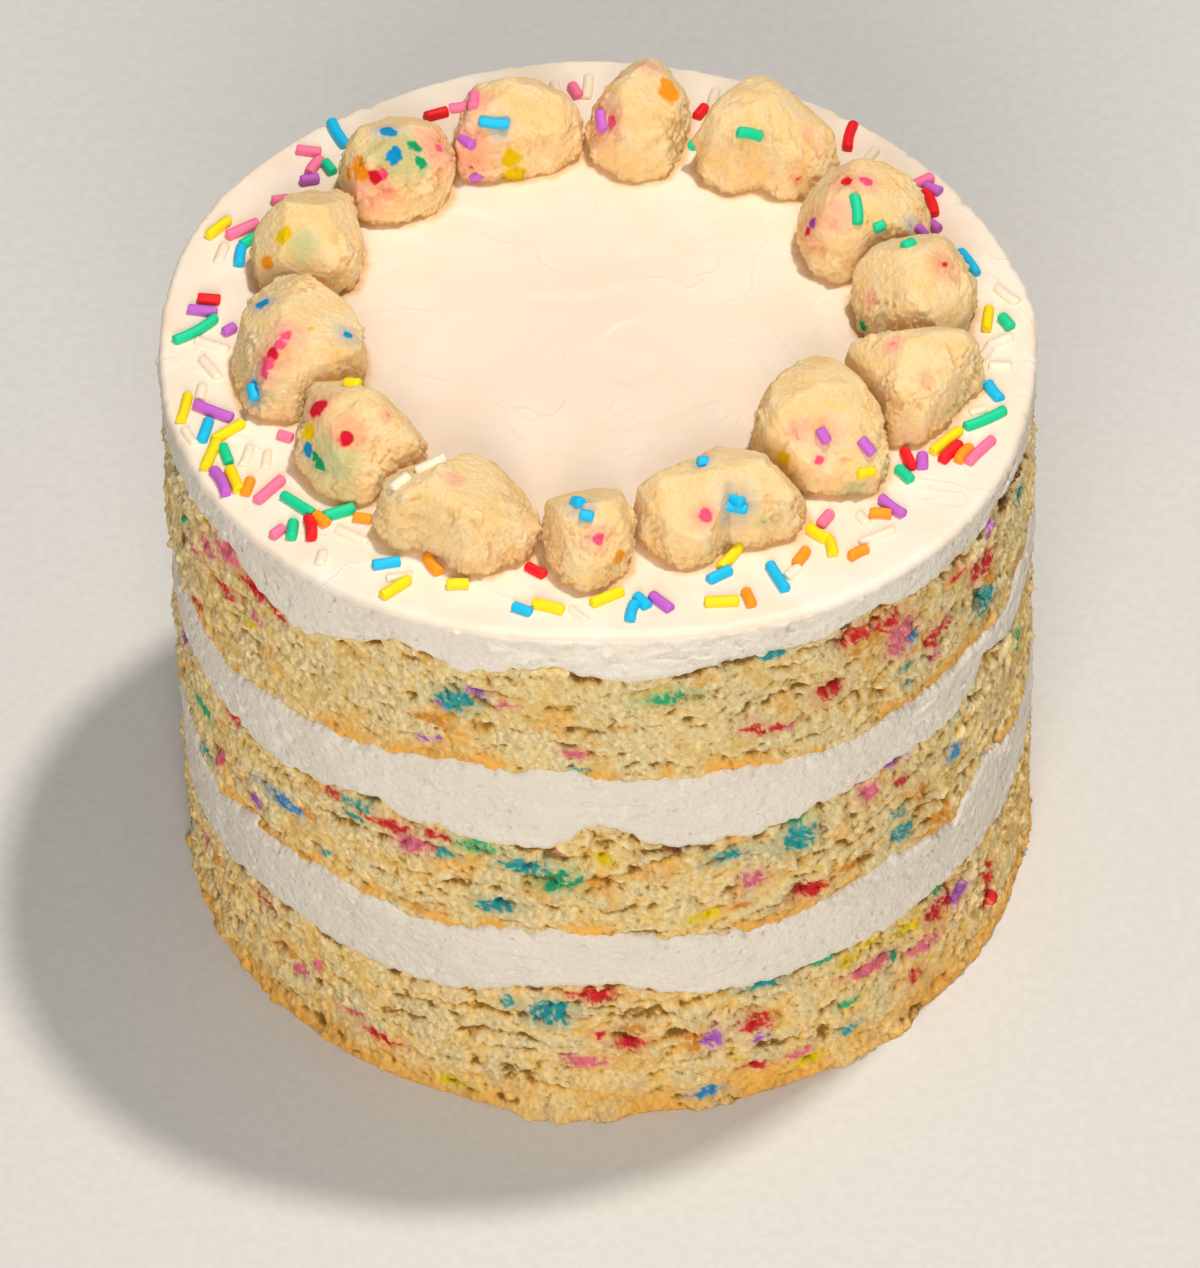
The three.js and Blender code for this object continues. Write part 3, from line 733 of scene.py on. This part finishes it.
# Melted sugar in each cluster: clock angle, radius, height, width, width of its glow, colour.
CLUSTER_SPOTS = {
    1: [(359.5, 60, 125.5, 1.8, 4, "k"), (2.5, 59, 120.5, 2.2, 3, "o"), (356.5, 55, 127.5, 0, 4, "b")],
    2: [(21.5, 47.5, 126.5, 1.8, 3, "b"), (18, 57, 124.5, 1.8, 4, "k"), (24, 54.5, 123, 0, 6, "b"),
        (28, 57.5, 120, 1, 2, "g")],
    3: [(47.5, 53.5, 126, 0, 6, "k"), (44, 49, 126, 1, 4, "k"), (44.5, 53, 121, 1.3, 2, "k"),
        (51.5, 59, 123, 0, 4, "v"), (41.5, 47.5, 120, 2.4, 3, "y"), (48.5, 57.5, 115, 0.8, 4, "g")],
    4: [(69, 60.5, 125, 0.7, 3, "k"), (74, 52.5, 126, 0.7, 3, "k")],
    5: [(96, 61, 125, 1.4, 5, "r"), (93.5, 46.5, 114.5, 1.6, 2, "g"), (94.5, 47, 120, 0.6, 3, "k")],
    6: [(121.5, 52, 125.5, 1.8, 5, "r"), (120, 55, 126, 1.8, 4, "k"), (111.5, 60, 120.5, 1.6, 3, "b"),
        (119, 44, 121.5, 1.8, 3, "v"), (119, 43.5, 120, 1.8, 6, "r"), (115.5, 47, 124.5, 0, 5, "k")],
    7: [(137.5, 53, 116.5, 0.8, 2, "r"), (137, 58, 124.5, 1.2, 4, "k"), (135, 58.5, 121, 1.4, 3, "k")],
    8: [(176, 48, 123, 2.2, 5, "k"), (165, 55, 125, 3.4, 0, "o"), (166, 57, 125.5, 2.2, 0, "o"),
        (170, 59.5, 126, 0, 4, "k"), (175, 57, 125.5, 0.8, 3, "k"), (179, 50, 121.5, 0, 7, "k")],
    9: [(198, 46.5, 118.5, 2.8, 3, "y"), (197.5, 46.5, 114.5, 3.2, 0, "y"),
        (199, 46.5, 120.5, 1.2, 0, "y"), (205.5, 48.5, 117.5, 1.4, 3, "r"),
        (206.5, 49.5, 120.5, 0, 9, "k"), (202, 54, 126, 0, 5, "k"), (199.5, 48, 124.5, 0, 4, "b")],
    10: [(229, 53.5, 125, 3.2, 0, "o"), (229, 55.5, 122.5, 2, 0, "o"), (229, 50.5, 124.5, 2.2, 0, "r"),
         (228, 49.5, 125, 1.8, 0, "k"), (230, 50.5, 122.5, 0, 7, "k"), (224.5, 49.5, 127, 2.4, 4, "b"),
         (223, 50, 127.5, 1.6, 0, "b"), (221, 54, 128, 2.2, 5, "b"), (218.5, 49, 127.5, 2.6, 4, "g"),
         (220, 46.5, 125.5, 1.6, 4, "g"), (213.5, 48, 125.5, 2.2, 8, "k"),
         (222.5, 49.5, 127.5, 0, 9, "g")],
    11: [(253, 56.5, 127, 2.8, 0, "y"), (253.5, 58, 126, 1.8, 0, "y"), (252.5, 49.5, 127, 1.6, 0, "y"),
         (255.5, 58.5, 122, 2.2, 0, "o"), (254, 52.5, 126, 0, 5, "g")],
    12: [(272.5, 57.5, 128.5, 2.2, 4, "b"), (283, 54.5, 129, 2, 5, "k"), (284.5, 56, 128.5, 2, 0, "k"),
         (285.5, 57.5, 128, 2, 6, "r"), (286.5, 60, 125.5, 1.8, 5, "k"), (286, 58.5, 127, 2, 0, "k"),
         (286, 61, 121, 2.6, 5, "b"), (281.5, 50, 129, 1, 0, "y"), (282, 43.5, 126.5, 1.4, 4, "b")],
    13: [(302, 56, 128.5, 2.8, 5, "r"), (310.5, 56.5, 128, 2.2, 6, "r"), (303, 59, 125.5, 2.4, 0, "y"),
         (304.5, 60, 123, 1.8, 3, "b"), (306.5, 60, 123, 1.4, 0, "g"), (308, 60, 122.5, 1.8, 4, "g"),
         (310.5, 58.5, 125, 0, 7, "g"), (311.5, 48.5, 128.5, 1, 2, "k")],
    14: [(337.5, 47.5, 127.5, 0.9, 2, "k"), (333, 53.5, 129.5, 0.4, 3, "k")],
}

# Rods pressed into the clusters: cluster, clock angle, radius, height, lean, length, colour.
PRESSED_RODS = [
    (1, 356, 54.5, 127.5, -50, 2.4, "b"), (1, 357.5, 57, 128, -20, 2.4, "b"),
    (2, 24, 54.5, 123, -57, 5.4, "b"), (2, 25, 55, 124.5, -50, 3, "b"),
    (2, 21.5, 47.5, 126.5, 10, 1.9, "b"), (3, 47.5, 53.5, 126, -40, 2.8, "v"),
    (3, 51.5, 59, 123, -48, 3.4, "v"), (3, 50, 59, 118, 15, 3.4, "y"),
    (5, 100.5, 55.5, 125.5, 45, 2.6, "g"), (6, 115, 50.5, 124.5, -81, 5.6, "g"),
    (6, 112.5, 53.5, 121.5, 30, 2.2, "g"), (6, 111, 61, 118.5, -30, 2.6, "v"),
    (7, 147, 50.5, 124.5, -44, 4.7, "g"), (7, 158, 51, 118, 30, 2.2, "g"),
    (8, 179, 50, 121.5, 73, 3.9, "v"), (9, 202, 54, 126, 88, 4.2, "k"),
    (9, 203.5, 56.5, 124, 5, 4.8, "k"),
    (9, 200.5, 48.5, 125.5, -8, 5.4, "b"), (9, 206, 49.5, 122, -44, 3.6, "v"),
    (9, 205, 48.5, 115, 60, 2.4, "v"), (12, 286, 61, 120.5, 80, 3, "b"),
    (13, 300.5, 48.5, 129.5, -30, 3, "y"), (12, 285.5, 43, 117, 80, 2, "g"),
    (14, 327, 52.5, 128.5, 10, 5.6, "w"), (14, 324, 58, 128, 35, 3.8, "w"),
]

# Rods on the frosting: the place of the middle, its lean from +X towards +Y, length, colour.
RODS = [
    (-67.2, 11.6, -6, 4, "r"), (-68.3, 8.6, -10, 5.2, "v"), (-69.3, 3.6, 40, 9.4, "g"),
    (-63.6, 3.6, 40, 2.6, "v"), (-71.1, -16.6, 80, 6.8, "y"), (-66.2, -17.4, -30, 7.6, "v"),
    (-67.5, -22.4, 77, 5.4, "b"), (-63.6, -22.6, 42, 6.8, "y"), (-66.5, -28.4, 74, 7.4, "y"),
    (-63.9, -28.4, -75, 4.6, "g"), (-53.8, -23.9, -25, 2.8, "k"), (-64.7, -35.3, -70, 6.8, "v"),
    (-62.4, -34.8, -73, 6, "y"), (-60.1, -36.6, 75, 3.8, "o"), (-56.4, -37.4, 52, 7.2, "k"),
    (-51.6, -41, -42, 7.2, "g"), (-44.6, -43, 22, 5.6, "g"), (-47.6, -44.8, -50, 3.4, "o"),
    (-49.4, -47, -84, 5.4, "r"), (-52.5, -47.4, 85, 4.2, "g"), (-55, -47.9, 48, 3, "k"),
    (-40.6, -44.5, -12, 3.2, "o"), (-42.4, -48.6, -33, 6.4, "w"), (-47.6, -54.2, 80, 3.2, "w"),
    (-36.6, -55.8, 12, 4.8, "b"), (-35.1, -61.8, 42, 6.2, "y"), (-34.4, -58.8, 10, 4.6, "w"),
    (-28.8, -56.2, -62, 4.8, "o"), (-24.6, -60.9, 2, 3.8, "y"), (-11.4, -57.7, -38, 4, "r"),
    (-13.8, -67.2, -28, 3.6, "b"), (-9.4, -66.6, -20, 5.6, "y"), (-4.4, -68.2, -50, 4.2, "w"),
    (0.5, -64.3, 30, 6.2, "y"), (6.4, -65.4, -55, 3.6, "b"), (4.6, -67.8, 78, 4.4, "b"),
    (9.6, -65.6, -48, 5, "v"), (19.6, -58.9, 35, 4.8, "b"), (21.6, -54.4, 57, 6.4, "y"),
    (19.8, -65.4, 3, 5.8, "y"), (24.4, -64.6, -74, 4, "o"), (29.4, -59.4, -68, 7, "b"),
    (33.6, -54.4, 60, 4, "o"), (43.2, -53.4, 35, 3.8, "o"), (36.6, -48.7, -42, 4.6, "y"),
    (38.8, -51.9, -82, 4, "y"), (38, -45, 58, 3.6, "k"), (44.4, -44.6, -60, 3, "w"),
    (47.4, -43.6, -4, 3.8, "o"), (49.4, -41.9, -48, 5.8, "v"), (46.6, -49, 30, 7, "w"),
    (32, -57.8, 48, 3.6, "w"), (52.7, -30, -74, 4.8, "r"), (55.1, -30.5, 88, 3.4, "v"),
    (51.9, -33.8, -55, 4, "g"), (59.4, -25.4, 48, 7.6, "y"), (60, -28.3, 53, 5.6, "r"),
    (62.2, -28.7, 57, 4.4, "o"), (65.1, -27.9, 53, 7.6, "k"), (66.4, -19.9, 32, 8.4, "g"),
    (65.2, -17.6, 20, 3.2, "w"), (68.1, -12.9, -65, 4.8, "b"), (68, 6, 82, 5.8, "y"),
    (71.2, 5.2, -62, 3.4, "g"), (65.4, 20.8, -66, 6.8, "b"), (71.6, 12.6, -50, 5.6, "w"),
    (69.8, 0.6, 32, 5, "w"), (67.2, -2.4, 62, 4, "w"), (69.6, -5.8, -6, 4, "w"),
    (45.8, 54.8, 79, 7, "r"), (59.4, 36.6, -77, 6.6, "r"), (58, 42.3, 34, 4.8, "k"),
    (59.9, 40.4, -35, 3.4, "v"), (59.8, 30.4, -50, 2.6, "v"), (35.2, 64.4, 84, 3.4, "k"),
    (19.6, 61.4, 60, 3.4, "r"), (-2.6, 67.2, -68, 3.6, "k"), (-0.4, 68.6, 84, 6.2, "w"),
    (-6, 68, -80, 4.6, "w"), (21.8, 64.8, 80, 6.6, "w"), (49.4, 50, 60, 4, "w"),
    (-27.4, 60.9, 22, 4.4, "r"), (-44.8, 55.6, -68, 7.4, "b"), (-50, 51, -10, 4.4, "k"),
    (-49, 46.9, 62, 4.6, "k"), (-46.4, 46.6, -62, 3.4, "g"), (-49.8, 43.3, 14, 3.4, "v"),
    (-54.9, 37.9, 10, 3.2, "k"), (-65.8, 30.4, 50, 5.8, "y"), (-61.5, 30, 33, 6.4, "k"),
    (-59.7, 27.7, 44, 5.6, "g"), (-61.9, 23.1, 85, 5, "b"), (-65.2, 23.8, 76, 5, "w"),
    (-66.6, 0, -25, 6.4, "w"), (-66.8, -6, -60, 6.2, "w"), (-68.4, -12.4, 82, 3.8, "w"),
    (-70.2, -23.4, -65, 4.6, "w"), (-60.4, -28.6, 76, 5.2, "w"), (-57, -29.6, 84, 4.6, "w"),
]
ROD_RADIUS = 1.0
ROD_BEVEL = 0.34
ROD_AXIS = 0.6  # height of a rod's axis above the frosting
WHITE_AXIS = -0.1  # the white ones lie deeper


def melted(points, spots, seed):
    """The colour of the sugar that has melted into a cluster at each place."""
    warp = np.stack([soft_noise(points, 1.5, seed + k, 2) for k in range(3)], 1)
    colour = np.zeros((len(points), 4))
    for clock, radius, height, across, glow, key in spots:
        away = np.linalg.norm(points + 0.5 * warp - turned(radius, clock, height), axis=1)
        heart = 1 - fade(away, 0.45 * across, 0.85 * across) if across else 0
        halo = 0.26 * (1 - fade(away, 0.3 * glow, glow)) if glow else 0
        lay_dye(colour, np.maximum(heart, halo), ROD_COLOURS[key][2])
    return colour


BROKEN_FACES = 6  # flat breaks on a cluster
CLUSTER_MESH = 0.31 * MM
KNOB, SAND = 4.5, 1.3  # sizes of a cluster's lumps and grains


def crumble_cluster(number):
    """One lump of crumble: its solid rounded, remeshed finely and given breaks, lumps, cracks and
    grains."""
    node = f"crumb_{number:02d}"
    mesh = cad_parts[node].data.copy()
    piece = bpy.data.objects.new(f"crumble_{number:02d}", mesh)
    mesh.name = piece.name
    mesh.materials.clear()
    scene.collection.objects.link(piece)
    pick(piece)
    bpy.ops.object.mode_set(mode="EDIT")
    bpy.ops.mesh.select_all(action="SELECT")
    bpy.ops.mesh.remove_doubles(threshold=0.01 * MM)
    bpy.ops.object.mode_set(mode="OBJECT")
    apply_modifier(piece, "REMESH", mode="VOXEL", voxel_size=CLUSTER_MESH)
    apply_modifier(piece, "SMOOTH", factor=0.5, iterations=6)
    points, normals = points_of(piece), numbers_of(piece.data.vertex_normals, "vector")
    floor = top_height(points[:, 0], points[:, 1])
    steep = 1 - np.clip(normals[:, 2], 0, 1)
    middle = points.mean(0)
    draw = seeded(40 + number)
    for _ in range(BROKEN_FACES):
        turn, lift = math.radians(draw(0, 360)), math.radians(draw(15, 70))
        level = math.cos(lift)
        facing = [math.cos(turn) * level, math.sin(turn) * level, math.sin(lift)]
        reach = (points - middle) @ facing
        beyond = np.maximum(reach - draw(0.74, 0.88) * reach.max(), 0)
        points -= 0.9 * beyond[:, None] * facing
    broken = fade(soft_noise(points, 7, 150 + number, 2) + 0.6 * steep, 0.2, 0.9)
    broken = np.maximum(broken, 1 - fade(points[:, 2] - floor, 1, 4))
    knobs = crumbly(points, KNOB, 80 + number, 4)
    sand = crumbly(points, SAND, 100 + number, 3)
    pits = broken * fade(soft_noise(points, 2.0, 90 + number, 2), 0.15, 0.5)
    relief = 0.6 + (0.12 + 0.9 * broken) * (knobs - 0.45) + (0.17 + 0.45 * broken) * (sand - 0.4)
    points += normals * (relief - 0.3 * pits)[:, None]
    above = points[:, 2] - floor
    points[:, 2] = np.where(above < 0.7, floor - 0.4 + np.maximum(above, 0) * 0.6, points[:, 2])
    move_points(piece, points)
    # Painted shade in the pits and in the creases between the knobs where the crumble is broken.
    painted_relief_shading = np.maximum(0.6 * pits, broken * (1 - fade(knobs + 0.3 * sand, 0.12, 0.4)))
    golden = fade(soft_noise(points, 5, 140 + number, 3) + 0.45 * steep, 0.1, 0.9)
    golden = np.maximum(golden, 0.9 * (1 - fade(points[:, 2] - floor, 0.3, 2.6)))
    dye = melted(points, CLUSTER_SPOTS[number], 160 + number)
    return dress(piece, CRUMBLE, node, {"painted_relief_shading": painted_relief_shading, "golden": golden, "dye": dye})


def new_rod(length, draw):
    """A short sugar rod along X, its ends softened, a little bent."""
    sizes = {"vertices": 12, "radius": ROD_RADIUS * draw(0.92, 1.06) * MM, "depth": length * MM}
    rod = new_cylinder(**sizes, rotation=(0, math.pi / 2, 0))
    bpy.ops.mesh.select_mode(type="EDGE")
    end = length * MM - 1e-6
    select_parts(rod, "edges", lambda e: abs(e.verts[0].co.x + e.verts[1].co.x) > end)
    bpy.ops.mesh.bevel(offset=ROD_BEVEL * MM, segments=3, affect="EDGES")
    long = (length - 1.2) * MM
    select_parts(rod, "edges", lambda e: abs(e.verts[0].co.x - e.verts[1].co.x) > long)
    bpy.ops.mesh.subdivide(number_cuts=4)
    bpy.ops.object.mode_set(mode="OBJECT")
    points = points_of(rod)
    bend = 0.07 * length * draw(-1, 1) ** 3
    points[:, 1] += bend * ((2 * points[:, 0] / length) ** 2 - 0.4)
    move_points(rod, points)
    return rod


def rod_pieces(clusters):
    """Every rod, one piece for each colour: those on the frosting, then those in the clusters."""
    draw = seeded(6)
    upwards = Vector((*TOP_FALL, 1)).normalized()
    slope = Vector((0, 0, 1)).rotation_difference(upwards).to_matrix().to_4x4()
    slope = Matrix.Translation((0, 0, TOP_HEIGHT * MM)) @ slope
    kinds = {}
    for x, y, lean, length, colour in RODS:
        rod = new_rod(length, draw)
        height = WHITE_AXIS if colour == "w" else ROD_AXIS
        place = Matrix.Translation(Vector((x, y, height)) * MM)
        rod.data.transform(slope @ place @ Matrix.Rotation(math.radians(lean), 4, "Z"))
        kinds.setdefault(colour, []).append(rod)
    for number, clock, radius, height, lean, length, colour in PRESSED_RODS:
        rod = new_rod(length, draw)
        middle = Vector(turned(radius, clock, height)) * MM
        _, seat, normal, _ = clusters[number - 1].closest_point_on_mesh(middle)
        axis = Matrix.Rotation(math.radians(lean), 3, "Z") @ Vector((1, 0, 0))
        axis = (axis - axis.dot(normal) * normal).normalized()
        turn = Matrix((axis, normal.cross(axis), normal)).transposed().to_4x4()
        rod.data.transform(Matrix.Translation(seat + 0.15 * MM * normal) @ turn)
        kinds.setdefault(colour, []).append(rod)
    for colour, rods in kinds.items():
        pick(*rods)
        bpy.ops.object.join()
        piece = bpy.context.object
        name, code, _ = ROD_COLOURS[colour]
        piece.name = piece.data.name = f"rods_{name}"
        bpy.ops.object.shade_smooth_by_angle(angle=math.radians(50))
        piece.data.materials.append(rod_material(f"glazed_sugar_{name}", code))
        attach(piece, "root")


def dress(piece, material, node, looks):
    """Finishes a piece: numbers or colours on its vertices, a material, and the solid it is for."""
    for name, values in looks.items():
        kind, field = ("FLOAT", "value") if values.ndim == 1 else ("FLOAT_COLOR", "color")
        attribute = piece.data.attributes.new(name, kind, "POINT")
        attribute.data.foreach_set(field, values.astype(np.float32).ravel())
    pick(piece)
    bpy.ops.object.shade_smooth()
    piece.data.materials.clear()
    piece.data.materials.append(material)
    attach(piece, "root")
    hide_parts(node)
    return piece


# --- Dyed sugar in the sponge: clock angle, height, width, height of the spot, colour ---

TOP_SPOTS = [
    (-77, 106, 3, 2, "t"), (-73, 97, 2, 3, "g"), (-73, 92, 2, 3, "n"), (-68, 96, 3, 2, "p"),
    (-58, 105, 6, 3, "p"), (-52, 102.5, 6, 3, "r"), (-47, 101, 3, 2, "r"), (-60, 95, 5, 1.6, "r"),
    (-63, 101, 4, 2, "p"), (-52, 95, 2, 1.4, "p"), (-53.5, 92, 4, 1.3, "y"), (-69, 81, 3, 2, "r"),
    (-20, 99, 4.6, 3.4, "t"), (-17, 101.5, 2.6, 1.6, "v"), (-13.5, 100, 3, 1, "p"),
    (-22, 97.5, 1.5, 1.2, "v"), (-22.7, 93.6, 5, 2, "o"), (-24.5, 88, 2, 1.3, "v"),
    (-22, 89, 1.4, 1.2, "v"), (-4.3, 89.6, 3, 1.3, "p"), (-3.7, 86, 2, 1, "t"),
    (19, 91, 3, 2, "r"), (21.5, 89.6, 3.4, 1.6, "r"), (24, 89, 3, 1.2, "p"), (30, 93, 4, 3, "r"),
    (35, 103.5, 5, 3, "r"), (39.7, 102, 3, 3, "r"), (35.5, 100, 5, 2.2, "o"),
    (42, 97, 5, 6, "p"), (43.7, 95, 2.2, 2.2, "b"), (43, 88.5, 3, 1.3, "t"), (47.4, 91, 3, 2.6, "r"),
    (50, 92, 3, 1.6, "r"), (48.3, 86, 2, 2, "p"), (53, 100.7, 3, 2, "r"), (57.3, 97, 2.6, 4, "r"),
    (60.3, 96.4, 2.6, 4, "r"), (61, 103, 2, 2, "v"), (61.7, 91, 4, 4, "o"), (60.5, 86, 4, 4, "t"),
    (21, 107, 5, 1.4, "t"), (26, 108, 6, 1.5, "t"), (8, 102, 6, 2.4, "g"), (72.4, 97.5, 3, 2, "t"),
    (43, 84.5, 2, 1.2, "t"), (68, 104, 8, 3, "n"),
]
MIDDLE_SPOTS = [
    (-78, 61, 3, 2, "v"), (-70, 54, 5, 2.4, "g"), (-68.6, 44, 3, 2, "t"), (-64, 48.5, 2, 1.6, "p"),
    (-59, 63.6, 3, 1.6, "r"), (-55, 48.5, 3.4, 2, "v"), (-49, 55, 7, 2.4, "b"),
    (-43.4, 56, 3, 1.6, "o"), (-39, 65, 3, 1.6, "r"), (-35.4, 65, 5, 2, "t"),
    (-36, 61.6, 2.4, 1.4, "t"), (-30, 63.6, 7, 2.4, "r"), (-27, 61, 5, 3, "p"),
    (-41, 48.5, 2, 1.2, "t"), (-27, 46, 3, 1.3, "o"), (-23, 64.6, 4, 1.8, "r"),
    (-22, 61, 3, 1.4, "t"), (-18, 64.4, 6, 2.6, "g"), (-11, 61, 6, 2.6, "t"),
    (-7, 58.5, 6, 4, "g"), (-15.5, 50.5, 5, 2.2, "t"), (-6.4, 64.7, 1.6, 1.2, "p"),
    (-1.2, 58.4, 2, 1.6, "o"), (-0.7, 64, 3, 2.2, "y"), (7, 65.4, 6, 1.4, "n"),
    (11.8, 47.6, 5, 2, "y"), (15, 61, 4.6, 2.4, "t"), (17, 48.5, 3, 1.6, "o"),
    (19, 54, 3, 3.4, "p"), (25.4, 60.4, 5, 4, "t"), (25.4, 64.7, 3, 1.6, "g"),
    (27, 46.6, 4.4, 2.6, "r"), (34, 48.5, 5, 2, "o"), (36.4, 64, 3, 2.4, "p"),
    (41, 67, 3, 1.6, "v"), (41.8, 61.6, 2.4, 1.6, "r"), (41.5, 54.5, 2.4, 1.6, "t"),
    (42.5, 48.5, 3.6, 3, "t"), (46.3, 54.5, 3, 4, "o"), (49.5, 46, 3, 3, "o"),
    (52.4, 67.5, 2, 2, "t"), (52.8, 58.4, 2.2, 3, "b"), (68.6, 59, 1.6, 2, "p"),
    (72.4, 62, 2, 5, "g"), (75.4, 69.5, 2, 2, "t"),
]
BOTTOM_SPOTS = [
    (-81.6, 10.6, 3, 3, "t"), (-72, 18, 2, 2, "p"), (-67, 19, 2.4, 2, "o"),
    (-61.5, 25, 3.6, 1.6, "t"), (-54, 23, 4, 2.4, "r"), (-49, 16, 3, 2, "o"),
    (-47, 12.6, 2, 1.6, "p"), (-43.7, 17, 1.6, 2.6, "p"), (-38, 10.4, 4, 1.4, "p"),
    (-33, 8, 5, 2, "r"), (-22, 3, 4, 1.4, "y"), (-13.8, 27, 2.4, 2, "t"), (-8.4, 25.8, 5, 4, "t"),
    (-3, 30.2, 6, 2, "r"), (-2.2, 20, 2, 2, "r"), (1.7, 17.7, 4, 2.2, "r"), (-4, 13, 5, 2.4, "p"),
    (2, 21.6, 4, 1.6, "o"), (10.6, 17, 3, 4, "o"), (12.6, 16.5, 3, 3.4, "v"),
    (19.3, 18, 4, 2.4, "r"), (19.6, 14, 2.6, 1.6, "v"), (19.6, 26.4, 5, 1.4, "t"),
    (29.3, 27.6, 5, 1.4, "g"), (11.8, 3.4, 4, 1.3, "b"), (19, 7, 3, 1.4, "r"),
    (24.8, 7, 4, 1.2, "p"), (26.5, 4.4, 4, 2, "y"), (33, 24, 3, 2, "y"), (37, 25.5, 3, 1.2, "y"),
    (43, 24, 4, 2.2, "y"), (37, 19.6, 6, 2.6, "p"), (41, 18.4, 1.6, 2, "g"),
    (33, 7.4, 2.4, 1.8, "t"), (33, 13.8, 3, 1.4, "g"), (50, 27, 3, 1.6, "g"),
    (50, 22, 6, 4, "r"), (54, 20.6, 4, 3, "v"), (47, 15.6, 5, 2, "p"), (45, 9.4, 3, 2, "r"),
    (62.4, 15, 2.6, 5, "r"), (62.6, 9, 2.4, 2, "r"),
]

# --- The cake ---

SPONGE = sponge_material()
SIDE_FROSTING = buttercream_material("scraped_buttercream")
TOP_FROSTING = buttercream_material("knife_spread_buttercream")
CRUMBLE = crumble_material()

BOTTOM_SPOTS += scattered_spots(1, 34, 3, 26)
MIDDLE_SPOTS += scattered_spots(2, 30, 46, 64)
TOP_SPOTS += scattered_spots(3, 32, 82, 104)
sponge_layer("bottom_sponge", "sponge_bottom", None, 0, BOTTOM_SPOTS, 1, foot=True)
frosting_band("lower_frosting", "frosting_lower", 0, 1, 41)
sponge_layer("middle_sponge", "sponge_middle", 1, 2, MIDDLE_SPOTS, 12)
frosting_band("middle_frosting", "frosting_middle", 2, 3, 45)
sponge_layer("upper_sponge", "sponge_top", 3, 4, TOP_SPOTS, 23)
clusters = [crumble_cluster(number) for number in CLUSTER_SPOTS]
spread_top("top_frosting_spread", "frosting_top", clusters)
rod_pieces(clusters)

# --- Floor, lights and camera ---


def floor_material():
    """Matt pale studio paper, with fibres of 2 mm."""
    material, shader, place, add = new_material("pale_studio_paper")
    fibre = add("TexNoise", {"Vector": place, "Scale": 1 / 0.002, "Detail": 3})
    pale = coats(add, linear("#D6D5D2"), [(fibre, 0.4, 0.6, 1, "#DAD9D6")])
    plug(shader, {"Base Color": pale, "Roughness": 0.9})
    return material


bpy.ops.mesh.primitive_plane_add(size=6, location=(0, 0, 0))
floor = bpy.context.object
floor.name = "studio_floor"
floor.data.materials.append(floor_material())


def area_light(name, place, aim, size, power, colour):
    light = bpy.data.objects.new(name, bpy.data.lights.new(name, "AREA"))
    light.data.shape = "DISK"
    light.data.size = size
    light.data.energy = power
    light.data.color = linear(colour)[:3]
    light.location = place
    light.rotation_euler = (Vector(place) - Vector(aim)).to_track_quat("Z", "Y").to_euler()
    scene.collection.objects.link(light)


CAKE_MIDDLE = (0, 0, 0.06)
area_light("key_from_above", (0.34, 0.22, 1.5), CAKE_MIDDLE, 0.12, 14.2, "#FFF7EC")
area_light("fill_from_the_front", (-0.1, -1.65, 0.94), CAKE_MIDDLE, 0.8, 22.5, "#FFFCF6")

world = bpy.data.worlds.new("pale_room")
scene.world = world
world.use_nodes = True
sky = world.node_tree.nodes["Background"]
plug(sky, {"Color": linear("#F4F6FA"), "Strength": 0.22})
scene.view_settings.view_transform = "Standard"

# The camera: a long lens from the front and above, with a slight roll.
CAMERA_DISTANCE = 1.75609
CAMERA_ELEVATION = math.radians(44.69)
CAMERA_ROLL = math.radians(-1.5218)
CAMERA_AIM = (-0.0007911, 0, 0.0435871)
PICTURE_HEIGHT = 1268
FOCAL_PIXELS = 9859.8
SENSOR = 36

camera_data = bpy.data.cameras.new("camera")
camera = bpy.data.objects.new("camera", camera_data)
scene.collection.objects.link(camera)
scene.camera = camera
camera_data.sensor_width = SENSOR
camera_data.lens = SENSOR * FOCAL_PIXELS / PICTURE_HEIGHT
camera_data.clip_start = 0.1
camera_data.clip_end = 20
tilt = Matrix.Rotation(math.pi / 2 - CAMERA_ELEVATION, 4, "X")
back = Matrix.Rotation(CAMERA_ROLL, 4, "Z") @ Matrix.Translation((0, 0, CAMERA_DISTANCE))
camera.matrix_world = Matrix.Translation(CAMERA_AIM) @ tilt @ back
